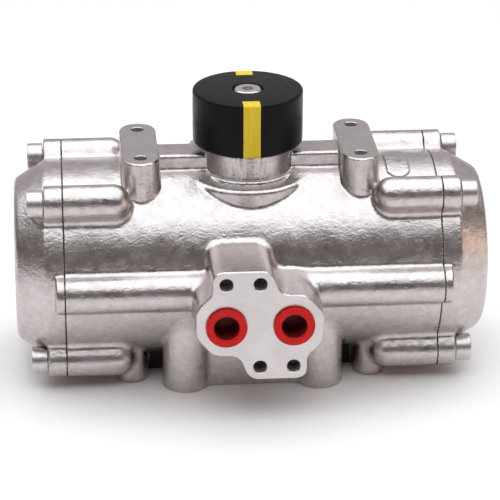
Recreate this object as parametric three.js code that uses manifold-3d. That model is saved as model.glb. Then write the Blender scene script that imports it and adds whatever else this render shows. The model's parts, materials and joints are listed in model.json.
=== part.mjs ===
// Double-acting rack-and-pinion pneumatic actuator for quarter-turn valves.
//
// Millimetres, +Z up. The origin is the centre of the bottom flange face, on the pinion's axis.
// +X runs along the cylinder, and -Y is the side with the two air ports. The pistons are shown
// together in the middle, which is the closed end of the quarter turn.

import * as THREE from "three";
import { mergeVertices } from "three/addons/utils/BufferGeometryUtils.js";
import Module from "manifold-3d";

const wasm = await Module();
wasm.setup();

// ---- Driving dimensions -------------------------------------------------------------------

const GAP = 0.3; // clearance left between neighbouring pieces

// Facets round a full turn
const LARGE_ROUND = 40;
const MEDIUM_ROUND = 24;
const SMALL_ROUND = 14;
const HOLE_ROUND = 8;
const SEAL_SECTION = 4;

// Cylinder and end caps
const AXIS_Z = 41.75; // height of the cylinder's axis above the flange face
const BODY_R = 36.2;
const BORE_R = 31.5;
const JOINT_X = 68.6; // plane between the housing and each end cap
const END_X = 86.3; // flat end of each cap
const CAP_FLANGE_X = 75.2; // bolted rim of each cap, up to here
const CAP_END_R = 29;
const CAP_HOLLOW_R = 30;
const CAP_HOLLOW_X = 80.5;

// Cap bolts: four per cap, on a rectangle about the cylinder's axis
const BOLT_Y = 24.25;
const BOLT_Z = 30.84;
const LUG_R = 6.5;
const LUG_INNER_X = 44; // rounded inner end of each housing lug
const SCREW_HEAD_R = 5;
const SCREW_HEAD_H = 5.8;
const SPOT_FACE_R = 5.8;
const SCREW_SHANK_R = 2.7;
const SCREW_TIP_X = 54;

// Top accessory interface
const TOP_ROOT_Z = 61.75; // every part of the interface starts inside the cylinder wall
const PAD_X = 40;
const PAD_HOLE_Y = 15;
const PAD_HALF_W = 6.75;
const PAD_TOP_Z = 85.8;
const RAIL_TOP_Z = 83.2;
const RAIL_HALF_W = 6.6;
const NECK = { r: 16.7, top: 85.5 };
const NECK_RING = { r: 18.5, top: 76.9 };
const NECK_BOSS = { r: 24.3, top: 75.4 };

// Blank plate for marks, on the cylinder
const LABEL_PLATE = { lowX: 50.5, highX: 58.5, lowY: -13, highY: 5, raise: 0.7 };

// Air-port face
const PORT_FACE_Y = -58.4;
const PORT_Z = 37.6;
const PORT_X = 12;
const PORT_BORE_R = 6.6;
const PORT_DEPTH = 13;
const PORT_HOLE_Z = 16; // rows of threaded holes above and below the ports
const PORT_HOLE_DEPTH = 8;
const RIB_Y = -35.75;
const RIB_R = 7;
const RIB_STUB_X = 71.8;
const AIR_CHANNEL_Y = -38.5;
const AIR_CHANNEL_R = 2;

// Bottom flange
const FLANGE_HALF = 27.7;
const OUTER_HOLE = 24.75; // four M8 holes on a 70 mm circle
const INNER_HOLE = 17.68; // four M6 holes on a 50 mm circle
const COLUMN_R = 8.6;
const COLUMN_H = 30;
const FLANGE_H = 24;
const SIDE_POST = { x: 44.5, halfWidth: 6, halfLength: 18, height: 26 };
const BASE_WEB = { halfWidth: 12, height: 8 };
const SPIGOT_RECESS = { r: 17.5, depth: 2.5 };

// Pinion and gear
const GEAR_MODULE = 1.5;
const GEAR_TEETH = 18;
const PRESSURE_ANGLE = THREE.MathUtils.degToRad(20);
const BACKLASH = 0.25; // taken off the thickness of every tooth
const GEAR_HALF_H = 12;
const CORE_R = 11.3; // between the bottom journal and the gear
const SHAFT_R = 9.6;
const JOURNAL_R = 15.4;
const JOURNAL_TOP_Z = 13;
const PINION_BOTTOM_Z = 1.5;
const STEM_SQUARE = 14;
const STEM_SOCKET_TOP_Z = 17.5;
const SHAFT_TOP_Z = 92;
const DRIVE_END_R = 7.5;
const DRIVE_FLAT = 5.5;
const DRIVE_TOP_Z = 101.5;
const BOTTOM_BORE_R = 15.75;
const TOP_BORE_R = 10;

// Pistons
const PISTON_R = 31;
const PISTON_INNER_X = 31.5;
const PISTON_LENGTH = 15.6;
const RACK_TEETH = 8;
const RACK_TIP_X = -27.5;
const RACK_HALF_H = 11;
const RACK_BACK_R = 30.2;

// Travel stops
const CAM_R = 21;
const CAM_HUB_R = 13;
const CAM_CUT = 8.7;
const CAM_Z = AXIS_Z + 16;
const CAM_H = 6;
const CAM_HEX = 9.8; // half the width across the pinion's hexagon
const STOP_X = 14;
const STOP_Z = AXIS_Z + 19;
const STOP_SCREW_R = 4;
const STOP_TIP_Y = 9;
const STOP_END_Y = 60;
const STOP_BOSS_Y = 44;
const STOP_BOSS_R = 7.5;
const STOP_SEAL = { r: 6.8, thickness: 1.6 };
const STOP_NUT = { halfWidth: 6.5, height: 6.5 };

// Position indicator
const DRUM_R = 20.2;
const DRUM_BOTTOM_Z = NECK.top + GAP;
const DRUM_TOP_Z = 106.3;
const DRUM_HOLLOW_R = 14.6;
const DRUM_HOLLOW_TOP_Z = SHAFT_TOP_Z + GAP;
const DRUM_HUB_TOP_Z = DRUM_TOP_Z - 4.5;
const MARKER_W = 6.6;
const MARKER_DEPTH = 1.6;
const MARKER_LIP = 5.5;

// Port plugs
const PLUG_R = 6.1;
const PLUG_FLANGE = { r: 7.4, thickness: 1.3 };
const PLUG_DEPTH = 9;
const PLUG_FLOOR = 1.2;
const PLUG_HOLLOW_R = 4.5;

// Derived
const PITCH_R = GEAR_MODULE * GEAR_TEETH / 2;
const TOOTH_PITCH = Math.PI * GEAR_MODULE;
const TOOTH_WIDTH = TOOTH_PITCH / 2 - BACKLASH;
const DEDENDUM = 1.25 * GEAR_MODULE;
const BODY_END_X = JOINT_X - GAP / 2;
const CAP_START_X = JOINT_X + GAP / 2;
const LUG_DISTANCE = Math.hypot(BOLT_Y, BOLT_Z);
const LUG_ANGLE = Math.atan2(BOLT_Y, BOLT_Z);
const SCREW_SEAT_X = CAP_FLANGE_X + GAP;
const SIDES = [-1, 1];

// ---- Materials ----------------------------------------------------------------------------

const finish = (color, roughness, metalness) =>
  () => new THREE.MeshStandardMaterial({ color, roughness, metalness });
const castSteel = finish(0xb9b0ad, 0.4, 1);
const brightSteel = finish(0xc8c4c2, 0.3, 1);
const toolSteel = finish(0x6f7072, 0.45, 1);
const aluminium = finish(0xc4c7ca, 0.35, 1);
const whitePolymer = finish(0xe6e2d6, 0.6, 0);
const blackRubber = finish(0x151516, 0.8, 0);
const blackPlastic = finish(0x1a1a1c, 0.45, 0);
const yellowPlastic = finish(0xd2b732, 0.4, 0);
const redPlastic = finish(0xd9261f, 0.45, 0);

// ---- Solids -------------------------------------------------------------------------------

// Turns a closed three.js geometry into a manifold solid that faces outwards.
function solid(geometry) {
  geometry.deleteAttribute("normal");
  geometry.deleteAttribute("uv");
  const merged = mergeVertices(geometry, 1e-4);
  const vertProperties = merged.attributes.position.array;
  const corner = (index) => new THREE.Vector3().fromArray(vertProperties, 3 * index);
  const kept = [];
  let volume = 0;
  for (let i = 0; i < merged.index.count; i += 3) {
    const [a, b, c] = merged.index.array.slice(i, i + 3);
    if (a === b || b === c || c === a) continue;
    kept.push([a, b, c]);
    volume += corner(a).dot(corner(b).cross(corner(c)));
  }
  const facingOut = ([a, b, c]) => (volume > 0 ? [a, b, c] : [a, c, b]);
  const triVerts = Uint32Array.from(kept.flatMap(facingOut));
  return new wasm.Manifold(new wasm.Mesh({ numProp: 3, vertProperties, triVerts }));
}

const join = (...parts) => parts.reduce((whole, part) => whole.add(part));
const cut = (whole, ...tools) => tools.reduce((left, tool) => left.subtract(tool), whole);

function box([x0, y0, z0], [x1, y1, z1]) {
  const geometry = new THREE.BoxGeometry(x1 - x0, y1 - y0, z1 - z0);
  return solid(geometry.translate((x0 + x1) / 2, (y0 + y1) / 2, (z0 + z1) / 2));
}

function rodX(r, x0, x1, y, z, sides = SMALL_ROUND) {
  const geometry = new THREE.CylinderGeometry(r, r, x1 - x0, sides).rotateZ(Math.PI / 2);
  return solid(geometry.translate((x0 + x1) / 2, y, z));
}

function rodY(r, y0, y1, x, z, sides = SMALL_ROUND) {
  return solid(new THREE.CylinderGeometry(r, r, y1 - y0, sides).translate(x, (y0 + y1) / 2, z));
}

function rodZ(r, z0, z1, x = 0, y = 0, sides = SMALL_ROUND) {
  const geometry = new THREE.CylinderGeometry(r, r, z1 - z0, sides).rotateX(Math.PI / 2);
  return solid(geometry.translate(x, y, (z0 + z1) / 2));
}

// Lathe about Z: the profile is a list of [radius, z].
function turnedZ(profile, sides = MEDIUM_ROUND) {
  const points = profile.map(([r, z]) => new THREE.Vector2(r, z));
  return solid(new THREE.LatheGeometry(points, sides).rotateX(Math.PI / 2));
}

// Lathe about the cylinder's axis: the profile is a list of [radius, x].
function turnedX(profile, sides = LARGE_ROUND) {
  const points = profile.map(([r, x]) => new THREE.Vector2(r, x));
  const geometry = new THREE.LatheGeometry(points, sides).rotateZ(-Math.PI / 2);
  return solid(geometry.translate(0, 0, AXIS_Z));
}

// A closed ring section, as a profile for the lathes above.
function roundSection(radius, along, thickness, points = SEAL_SECTION) {
  return Array.from({ length: points + 1 }, (_, i) => {
    const turn = (i % points) / points * 2 * Math.PI;
    return [radius + thickness / 2 * Math.cos(turn), along + thickness / 2 * Math.sin(turn)];
  });
}

function squareSection(inner, outer, low, high) {
  return [[inner, low], [outer, low], [outer, high], [inner, high], [inner, low]];
}

function extrusion(shape, depth, curveSegments) {
  return new THREE.ExtrudeGeometry(shape, { depth, bevelEnabled: false, curveSegments });
}

// Outline in X and Y, raised along Z.
function raised(shape, z0, z1, curveSegments = 3) {
  const geometry = extrusion(shape, z1 - z0, curveSegments);
  return solid(geometry.translate(0, 0, z0));
}

// Outline in X and Z, drawn along Y.
function drawnY(shape, y0, y1, curveSegments = 2) {
  const geometry = extrusion(shape, y1 - y0, curveSegments);
  return solid(geometry.rotateX(Math.PI / 2).translate(0, y1, 0));
}

// Outline in Y and Z, drawn along X.
function drawnX(shape, x0, x1, curveSegments = 6) {
  const geometry = extrusion(shape, x1 - x0, curveSegments);
  geometry.applyMatrix4(new THREE.Matrix4().makeBasis(
    new THREE.Vector3(0, 1, 0),
    new THREE.Vector3(0, 0, 1),
    new THREE.Vector3(1, 0, 0),
  ));
  return solid(geometry.translate(x0, 0, 0));
}

function polygon(points) {
  return new THREE.Shape(points.map(([x, y]) => new THREE.Vector2(x, y)));
}

function hexagon(halfWidth, turn = 0) {
  const reach = halfWidth / Math.cos(Math.PI / 6);
  const angles = Array.from({ length: 6 }, (_, i) => i * Math.PI / 3 + turn);
  return polygon(angles.map((a) => [reach * Math.cos(a), reach * Math.sin(a)]));
}

// Slot outline with round ends, long in Y.
function stadium(x, halfWidth, halfLength) {
  const shape = new THREE.Shape();
  shape.absarc(x, halfLength, halfWidth, 0, Math.PI);
  shape.absarc(x, -halfLength, halfWidth, Math.PI, 2 * Math.PI);
  return shape;
}

// Closed outline from corners [x, y, reach], each rounded by a curve of that reach.
function roundedOutline(corners) {
  const shape = new THREE.Shape();
  corners.forEach(([x, y, reach], i) => {
    const here = new THREE.Vector2(x, y);
    const towards = ([otherX, otherY]) =>
      new THREE.Vector2(otherX, otherY).sub(here).setLength(reach).add(here);
    const before = towards(corners.at(i - 1));
    const after = towards(corners[(i + 1) % corners.length]);
    if (i === 0) {
      shape.moveTo(before.x, before.y);
    } else {
      shape.lineTo(before.x, before.y);
    }
    shape.quadraticCurveTo(here.x, here.y, after.x, after.y);
  });
  shape.closePath();
  return shape;
}

// ---- Scene --------------------------------------------------------------------------------

const actuator = new THREE.Group();

// One group for everything that moves together.
function addBody() {
  const body = new THREE.Group();
  actuator.add(body);
  return body;
}

// Adds a shape to a body as a named mesh, and returns the mesh so that it can be placed.
function addPiece(body, name, shape, material) {
  const { vertProperties, triVerts } = shape.getMesh();
  const geometry = new THREE.BufferGeometry();
  geometry.setAttribute("position", new THREE.BufferAttribute(vertProperties, 3));
  geometry.setIndex(new THREE.BufferAttribute(triVerts, 1));
  geometry.computeVertexNormals();
  const mesh = new THREE.Mesh(geometry, material());
  mesh.name = name;
  body.add(mesh);
  return mesh;
}

// ---- Housing ------------------------------------------------------------------------------

// Places a part made with its radial direction up +Z at one of the four bolt corners.
function atBoltCorner(part, sideY, sideZ) {
  const degrees = THREE.MathUtils.radToDeg(LUG_ANGLE);
  const turn = sideZ > 0 ? -sideY * degrees : 180 + sideY * degrees;
  return part.rotate([turn, 0, 0]).translate([0, 0, AXIS_Z]);
}

const boltCorners = SIDES.flatMap((sideY) => SIDES.map((sideZ) => [sideY, sideZ]));

const LUG_ROUND = 12;

// Bolt lug with a rounded inner end and a web down to the cylinder.
function housingLug(side) {
  const roundX = LUG_INNER_X + LUG_R;
  const [low, high] = side > 0 ? [roundX, BODY_END_X] : [-BODY_END_X, -roundX];
  const webBottom = BORE_R + 1;
  const ball = new THREE.SphereGeometry(LUG_R, LUG_ROUND, LUG_ROUND / 2).rotateZ(Math.PI / 2);
  return join(
    rodX(LUG_R, low, high, 0, LUG_DISTANCE, LUG_ROUND),
    solid(ball.translate(side * roundX, 0, LUG_DISTANCE)),
    box([low, -LUG_R, webBottom], [high, LUG_R, LUG_DISTANCE]),
    rodZ(LUG_R, webBottom, LUG_DISTANCE, side * roundX, 0, LUG_ROUND),
  );
}

// The port face outline is the same after half a turn: it has two port lobes, an upper tab on
// the left and a lower tab on the right.
function portOutline() {
  const half = [
    [-17, 21, 4.5], [4, 21, 4], [7.4, 11.7, 3.5],
    [16.5, 11.5, 3], [22.7, 4.4, 2.5], [22.7, -6.7, 3], [16.9, -12.4, 2],
  ];
  const turned = half.map(([x, z, reach]) => [-x, -z, reach]);
  return roundedOutline([...half, ...turned].reverse());
}

function portBlock() {
  return drawnY(portOutline(), PORT_FACE_Y, RIB_Y + RIB_R).translate([0, 0, PORT_Z]);
}

function bottomFlange() {
  const columns = SIDES.flatMap((x) => SIDES.map((y) =>
    rodZ(COLUMN_R, 0, COLUMN_H, x * OUTER_HOLE, y * OUTER_HOLE)));
  const { x: postX, halfWidth, halfLength, height } = SIDE_POST;
  const posts = SIDES.map((x) => raised(stadium(x * postX, halfWidth, halfLength), 0, height));
  return join(
    box([-FLANGE_HALF, -FLANGE_HALF, 0], [FLANGE_HALF, FLANGE_HALF, FLANGE_H]),
    box([-postX, -BASE_WEB.halfWidth, 0], [postX, BASE_WEB.halfWidth, BASE_WEB.height]),
    ...columns,
    ...posts,
  );
}

function topInterface() {
  const stack = [NECK, NECK_RING, NECK_BOSS].map(({ r, top }) =>
    rodZ(r, TOP_ROOT_Z, top, 0, 0, MEDIUM_ROUND));
  const pads = SIDES.map((x) =>
    raised(stadium(x * PAD_X, PAD_HALF_W, PAD_HOLE_Y), TOP_ROOT_Z, PAD_TOP_Z));
  const rail = box([-PAD_X, -RAIL_HALF_W, TOP_ROOT_Z], [PAD_X, RAIL_HALF_W, RAIL_TOP_Z]);
  return join(...stack, ...pads, rail);
}

// Blank raised plate on the cylinder, between the upper lugs.
function labelPlate() {
  const { lowX, highX, lowY, highY, raise } = LABEL_PLATE;
  const band = rodX(BODY_R + raise, lowX, highX, 0, AXIS_Z, LARGE_ROUND);
  return band.intersect(box([lowX - 1, lowY, AXIS_Z], [highX + 1, highY, AXIS_Z + 2 * BODY_R]));
}

function stopBosses() {
  const rootY = STOP_BOSS_Y - 24;
  return join(...SIDES.map((x) => rodY(STOP_BOSS_R, rootY, STOP_BOSS_Y, x * STOP_X, STOP_Z)));
}

// Threaded holes are cut at their core radii.
const M5 = 2.1;
const M6 = 2.5;
const M8 = 3.4;

function flangeAndPadHoles() {
  return SIDES.flatMap((x) => SIDES.flatMap((y) => [
    rodZ(M8, -1, 13, x * OUTER_HOLE, y * OUTER_HOLE, HOLE_ROUND),
    rodZ(M6, -1, 10, x * INNER_HOLE, y * INNER_HOLE, HOLE_ROUND),
    rodZ(M5, PAD_TOP_Z - 9, PAD_TOP_Z + 1, x * PAD_X, y * PAD_HOLE_Y, HOLE_ROUND),
  ]));
}

function capScrewHoles() {
  const r = SCREW_SHANK_R + GAP;
  const tipX = SCREW_TIP_X - 1;
  return SIDES.flatMap((x) => {
    const [low, high] = x > 0 ? [tipX, JOINT_X] : [-JOINT_X, -tipX];
    const hole = rodX(r, low, high, 0, LUG_DISTANCE, HOLE_ROUND);
    return boltCorners.map(([sideY, sideZ]) => atBoltCorner(hole, sideY, sideZ));
  });
}

function portFaceHoles() {
  const endY = PORT_FACE_Y + PORT_HOLE_DEPTH;
  return SIDES.flatMap((side) => [0, side * PORT_X].map((x) =>
    rodY(M5, PORT_FACE_Y - 1, endY, x, PORT_Z - side * PORT_HOLE_Z, HOLE_ROUND)));
}

// The left port feeds the middle chamber. The right port feeds the channel along the front rib,
// which leads to both end caps.
function airWays() {
  const portEnd = PORT_FACE_Y + PORT_DEPTH;
  return [
    ...SIDES.map((x) => rodY(PORT_BORE_R, PORT_FACE_Y - 1, portEnd, x * PORT_X, PORT_Z)),
    rodY(2.4, portEnd - 1, -28, -PORT_X, PORT_Z - 2.6, HOLE_ROUND),
    rodY(2.8, portEnd - 1, AIR_CHANNEL_Y, PORT_X, PORT_Z + 2.6, HOLE_ROUND),
    rodX(AIR_CHANNEL_R, -JOINT_X, JOINT_X, AIR_CHANNEL_Y, AXIS_Z, HOLE_ROUND),
  ];
}

function housing() {
  const lugs = SIDES.flatMap((side) => boltCorners.map(([y, z]) => atBoltCorner(housingLug(side), y, z)));
  const casting = join(
    rodX(BODY_R, -BODY_END_X, BODY_END_X, 0, AXIS_Z, LARGE_ROUND),
    rodX(RIB_R, -BODY_END_X, BODY_END_X, RIB_Y, AXIS_Z),
    ...lugs,
    topInterface(),
    portBlock(),
    bottomFlange(),
    stopBosses(),
    labelPlate(),
  );
  return cut(
    casting,
    rodX(BORE_R, -JOINT_X, JOINT_X, 0, AXIS_Z, LARGE_ROUND),
    rodZ(BOTTOM_BORE_R, -1, AXIS_Z, 0, 0, MEDIUM_ROUND),
    rodZ(SPIGOT_RECESS.r, -1, SPIGOT_RECESS.depth, 0, 0, MEDIUM_ROUND),
    rodZ(TOP_BORE_R, AXIS_Z, NECK.top + 1, 0, 0, MEDIUM_ROUND),
    ...SIDES.map((x) => rodY(STOP_SCREW_R + GAP, 15, STOP_BOSS_Y + 1, x * STOP_X, STOP_Z)),
    ...flangeAndPadHoles(),
    ...capScrewHoles(),
    ...portFaceHoles(),
    ...airWays(),
  );
}

// ---- End caps -----------------------------------------------------------------------------

const SEAL_R = 32.5;
const SEAL_THICKNESS = 1.2;
const CAP_CONE = [[BODY_R, CAP_FLANGE_X], [33.3, 81], [29.8, 85.8], [CAP_END_R, END_X]]; // [radius, x]
const CAP_AIR_WAY = { r: 1.4, halfLength: 6.5, degrees: 55, x: 72.2, y: -34.2 };

// Made for the right end. The left cap is its mirror image, because the air rib is at the front
// of both.
function endCap() {
  const shell = turnedX([
    [0, CAP_HOLLOW_X], [CAP_HOLLOW_R, CAP_HOLLOW_X], [CAP_HOLLOW_R, CAP_START_X],
    [BODY_R, CAP_START_X], ...CAP_CONE, [0, END_X],
  ]);
  const lug = join(
    rodX(LUG_R, CAP_START_X, CAP_FLANGE_X, 0, LUG_DISTANCE, LUG_ROUND),
    box([CAP_START_X, -LUG_R, CAP_HOLLOW_R + 1], [CAP_FLANGE_X, LUG_R, LUG_DISTANCE]),
  );
  const hole = join(
    rodX(SCREW_SHANK_R + 2 * GAP, JOINT_X, END_X, 0, LUG_DISTANCE, HOLE_ROUND),
    rodX(SPOT_FACE_R, CAP_FLANGE_X, END_X, 0, LUG_DISTANCE),
  );
  const groove = squareSection(
    SEAL_R - SEAL_THICKNESS / 2 - GAP,
    SEAL_R + SEAL_THICKNESS / 2 + GAP,
    CAP_START_X - 1,
    CAP_START_X + SEAL_THICKNESS + GAP,
  );
  const { r, halfLength, degrees, x, y } = CAP_AIR_WAY;
  const airWay = rodX(r, -halfLength, halfLength, 0, 0, HOLE_ROUND)
    .rotate([0, 0, degrees])
    .translate([x, y, AXIS_Z]);
  return cut(
    join(
      shell,
      rodX(RIB_R, CAP_START_X, RIB_STUB_X, RIB_Y, AXIS_Z),
      ...boltCorners.map(([sideY, sideZ]) => atBoltCorner(lug, sideY, sideZ)),
    ),
    rodX(CAP_HOLLOW_R, CAP_START_X - 1, CAP_HOLLOW_X, 0, AXIS_Z, LARGE_ROUND),
    turnedX(groove),
    airWay,
    ...boltCorners.map(([sideY, sideZ]) => atBoltCorner(hole, sideY, sideZ)),
  );
}

function capSeal() {
  const middleX = CAP_START_X + (SEAL_THICKNESS + GAP) / 2;
  return turnedX(roundSection(SEAL_R, middleX, SEAL_THICKNESS));
}

// Socket-head cap screw about the X axis, with its head towards +X.
function capScrew() {
  const topX = SCREW_SEAT_X + SCREW_HEAD_H;
  const screw = join(
    rodX(SCREW_HEAD_R, SCREW_SEAT_X, topX, 0, 0),
    rodX(SCREW_SHANK_R, SCREW_TIP_X, SCREW_SEAT_X, 0, 0, HOLE_ROUND),
  );
  return cut(screw, drawnX(hexagon(2.5), topX - 3, END_X));
}

// ---- Pinion -------------------------------------------------------------------------------

const involute = (angle) => Math.tan(angle) - angle;

// Half the angle that a gear tooth covers at a radius.
function toothHalfAngle(radius) {
  const baseR = PITCH_R * Math.cos(PRESSURE_ANGLE);
  const pressure = Math.acos(Math.min(1, baseR / radius));
  return TOOTH_WIDTH / (2 * PITCH_R) + involute(PRESSURE_ANGLE) - involute(pressure);
}

function gearOutline() {
  const baseR = PITCH_R * Math.cos(PRESSURE_ANGLE);
  const tipR = PITCH_R + GEAR_MODULE;
  const flank = [0, 0.5, 1].map((t) => THREE.MathUtils.lerp(baseR, tipR, t));
  const flankPoints = flank.map((r) => [r, toothHalfAngle(r)]);
  flankPoints.unshift([PITCH_R - DEDENDUM, toothHalfAngle(baseR)]);
  const tooth = [
    ...flankPoints.map(([r, angle]) => [r, -angle]),
    ...flankPoints.reverse(),
  ];
  const points = [];
  for (let i = 0; i < GEAR_TEETH; i += 1) {
    const centre = i * 2 * Math.PI / GEAR_TEETH - Math.PI / 2;
    for (const [r, angle] of tooth) {
      points.push([r * Math.cos(centre + angle), r * Math.sin(centre + angle)]);
    }
  }
  return polygon(points);
}

// Grooves of the turned pieces: { low, high, core }, along the axis and the radius left inside.
const BOTTOM_BUSH_GROOVE = { low: 7.6, high: 12, core: 14.2 };
const BOTTOM_RING_GROOVE = { low: 3.4, high: 6.6, core: 13.2 };
const TOP_BUSH_GROOVE = { low: 74, high: 79.4, core: 8.3 };
const TOP_RING_GROOVE = { low: 81, high: 83.9, core: 7.3 };
const SNAP_RING_GROOVE = { low: 89.1, high: 91, core: 8.4 };

// The part of a lathe profile that goes into grooves cut from an outer radius.
const grooved = (outer, ...grooves) => grooves.flatMap(({ low, high, core }) =>
  [[outer, low], [core, low], [core, high], [outer, high]]);

function pinion() {
  const shaft = turnedZ([
    [0, PINION_BOTTOM_Z], [JOURNAL_R, PINION_BOTTOM_Z],
    ...grooved(JOURNAL_R, BOTTOM_RING_GROOVE, BOTTOM_BUSH_GROOVE),
    [JOURNAL_R, JOURNAL_TOP_Z], [CORE_R, JOURNAL_TOP_Z], [CORE_R, AXIS_Z], [SHAFT_R, AXIS_Z],
    ...grooved(SHAFT_R, TOP_BUSH_GROOVE, TOP_RING_GROOVE, SNAP_RING_GROOVE),
    [SHAFT_R, SHAFT_TOP_Z], [DRIVE_END_R, SHAFT_TOP_Z], [DRIVE_END_R, DRIVE_TOP_Z], [0, DRIVE_TOP_Z],
  ]);
  const square = STEM_SQUARE / 2;
  const stemSocket = box([-square, -square, 0], [square, square, STEM_SOCKET_TOP_Z]);
  const slot = box([-2, -10, DRIVE_TOP_Z - 4], [2, 10, DRIVE_TOP_Z + 1]);
  const flat = box([DRIVE_FLAT, -9, SHAFT_TOP_Z], [9, 9, DRIVE_TOP_Z + 1]);
  return cut(
    join(
      shaft,
      raised(gearOutline(), AXIS_Z - GEAR_HALF_H, AXIS_Z + GEAR_HALF_H),
      raised(hexagon(CAM_HEX), AXIS_Z, CAM_Z + CAM_H + GAP),
    ),
    stemSocket,
    stemSocket.rotate([0, 0, 45]),
    slot,
    flat,
    flat.rotate([0, 0, 180]),
    rodZ(SCREW_SHANK_R + GAP, 89, DRIVE_TOP_Z + 1, 0, 0, HOLE_ROUND),
  );
}

// Ring that fills a groove of the pinion, clear of the groove and of the bore around it.
function bush({ low, high, core }, outer) {
  return turnedZ(squareSection(core + GAP, outer, low + GAP, high - GAP));
}

function ringSection({ low, high, core }, outer) {
  const inner = core + GAP;
  const thickness = Math.min(outer - inner, high - low - 2 * GAP);
  return roundSection((inner + outer) / 2, (low + high) / 2, thickness);
}

// ---- Pistons ------------------------------------------------------------------------------

const WEAR_GROOVE = { low: 33, high: 38, core: 29 };
const PISTON_RING_GROOVE = { low: 40.5, high: 44.1, core: 27.8 };
const GUIDE = { x0: -24, x1: -8, halfHeight: 7, innerR: 28.6 };
const RING_OUTER_R = BORE_R - GAP;

// Cross-section of the rack bar: flat on the gear side, round at the back.
function rackSection(innerY, backR, halfHeight) {
  const reach = Math.asin(halfHeight / backR);
  const shape = new THREE.Shape();
  shape.moveTo(-innerY, AXIS_Z - halfHeight);
  shape.lineTo(-innerY, AXIS_Z + halfHeight);
  shape.absarc(0, AXIS_Z, backR, Math.PI - reach, Math.PI + reach, false);
  shape.closePath();
  return shape;
}

// Rack tooth outline in X and Y, pointing +Y at the gear.
function rackTooth(centreX) {
  const rootY = -(PITCH_R + DEDENDUM);
  const tipY = -(PITCH_R - GEAR_MODULE);
  const slope = Math.tan(PRESSURE_ANGLE);
  const rootHalf = TOOTH_WIDTH / 2 + DEDENDUM * slope;
  const tipHalf = TOOTH_WIDTH / 2 - GEAR_MODULE * slope;
  return polygon([
    [centreX - rootHalf, rootY - 1], [centreX + rootHalf, rootY - 1],
    [centreX + rootHalf, rootY], [centreX + tipHalf, tipY],
    [centreX - tipHalf, tipY], [centreX - rootHalf, rootY],
  ]);
}

// Curved pad behind the rack bar: the guide itself, or with a clearance the pocket it lies in.
function guideForm(clearance, outer) {
  const shell = cut(
    rodX(outer, GUIDE.x0 - clearance, GUIDE.x1 + clearance, 0, AXIS_Z, LARGE_ROUND),
    rodX(GUIDE.innerR + GAP - clearance, -BODY_END_X, BODY_END_X, 0, AXIS_Z, LARGE_ROUND),
  );
  const halfHeight = GUIDE.halfHeight + clearance;
  const behind = box(
    [-BODY_END_X, -BODY_R, AXIS_Z - halfHeight],
    [BODY_END_X, 0, AXIS_Z + halfHeight],
  );
  return shell.intersect(behind);
}

// The right piston, with its rack on the port side of the pinion.
function piston() {
  const outerX = PISTON_INNER_X + PISTON_LENGTH;
  const head = turnedX([
    [0, PISTON_INNER_X], [PISTON_R, PISTON_INNER_X],
    ...grooved(PISTON_R, WEAR_GROOVE, PISTON_RING_GROOVE),
    [PISTON_R, outerX], [0, outerX],
  ]);
  const section = rackSection(PITCH_R + DEDENDUM, RACK_BACK_R, RACK_HALF_H);
  const bar = drawnX(section, RACK_TIP_X, PISTON_INNER_X + 1);
  const firstTooth = 2.5 - RACK_TEETH; // half a pitch off the pinion's centre line
  const teeth = Array.from({ length: RACK_TEETH }, (_, i) =>
    raised(rackTooth((firstTooth + i) * TOOTH_PITCH), AXIS_Z - RACK_HALF_H, AXIS_Z + RACK_HALF_H));
  return cut(join(head, bar, ...teeth), guideForm(GAP, BORE_R));
}

function wearRing() {
  const { low, high, core } = WEAR_GROOVE;
  return turnedX(squareSection(core + GAP, RING_OUTER_R, low + GAP, high - GAP));
}

// ---- Travel stops -------------------------------------------------------------------------

// The two flats meet one stop screw each, a quarter turn apart.
function stopCam() {
  const top = CAM_Z + CAM_H;
  const plateSpace = box([-CAM_R, -CAM_R, CAM_Z - 1], [CAM_CUT, CAM_CUT, top + 1]);
  const hubSpace = box([-CAM_HUB_R, -CAM_HUB_R, CAM_Z - 1], [CAM_HUB_R, CAM_CUT, top + 1]);
  const plate = rodZ(CAM_R, CAM_Z, top, 0, 0, MEDIUM_ROUND).intersect(plateSpace);
  const hub = rodZ(CAM_HUB_R, CAM_Z, top, 0, 0, MEDIUM_ROUND).intersect(hubSpace);
  return cut(join(plate, hub), raised(hexagon(CAM_HEX + GAP), CAM_Z - 1, top + 1));
}

// The stop screw, its seal and its lock nut are made about the Y axis.
function stopScrew() {
  const socket = drawnY(hexagon(2), STOP_END_Y - 5, STOP_END_Y + 1);
  return cut(rodY(STOP_SCREW_R, STOP_TIP_Y, STOP_END_Y, 0, 0), socket);
}

const STOP_SEAL_Y = STOP_BOSS_Y + GAP;
const STOP_NUT_Y = STOP_SEAL_Y + STOP_SEAL.thickness + GAP;

const stopScrewHole = () => rodY(STOP_SCREW_R + GAP, STOP_BOSS_Y, STOP_END_Y, 0, 0);

function stopSeal() {
  const disc = rodY(STOP_SEAL.r, STOP_SEAL_Y, STOP_SEAL_Y + STOP_SEAL.thickness, 0, 0);
  return cut(disc, stopScrewHole());
}

function stopNut() {
  const block = drawnY(hexagon(STOP_NUT.halfWidth), STOP_NUT_Y, STOP_NUT_Y + STOP_NUT.height);
  return cut(block, stopScrewHole());
}

// ---- Shaft top and indicator --------------------------------------------------------------

const THRUST_R = 13.8;
const THRUST_BEARING = { z: NECK.top + GAP, thickness: 1.4 };
const THRUST_WASHER = { z: THRUST_BEARING.z + THRUST_BEARING.thickness + GAP, thickness: 1.2 };
const SNAP_RING_R = 12.2;

function washer({ z, thickness }) {
  return turnedZ(squareSection(SHAFT_R + GAP, THRUST_R, z, z + thickness));
}

// Open ring: the gap in it faces +Y.
function snapRing() {
  const { low, high, core } = SNAP_RING_GROOVE;
  const ring = turnedZ(squareSection(core + GAP, SNAP_RING_R, low + GAP, high - GAP));
  return cut(ring, box([-2.5, 0, low], [2.5, SNAP_RING_R + 1, high]));
}

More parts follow.
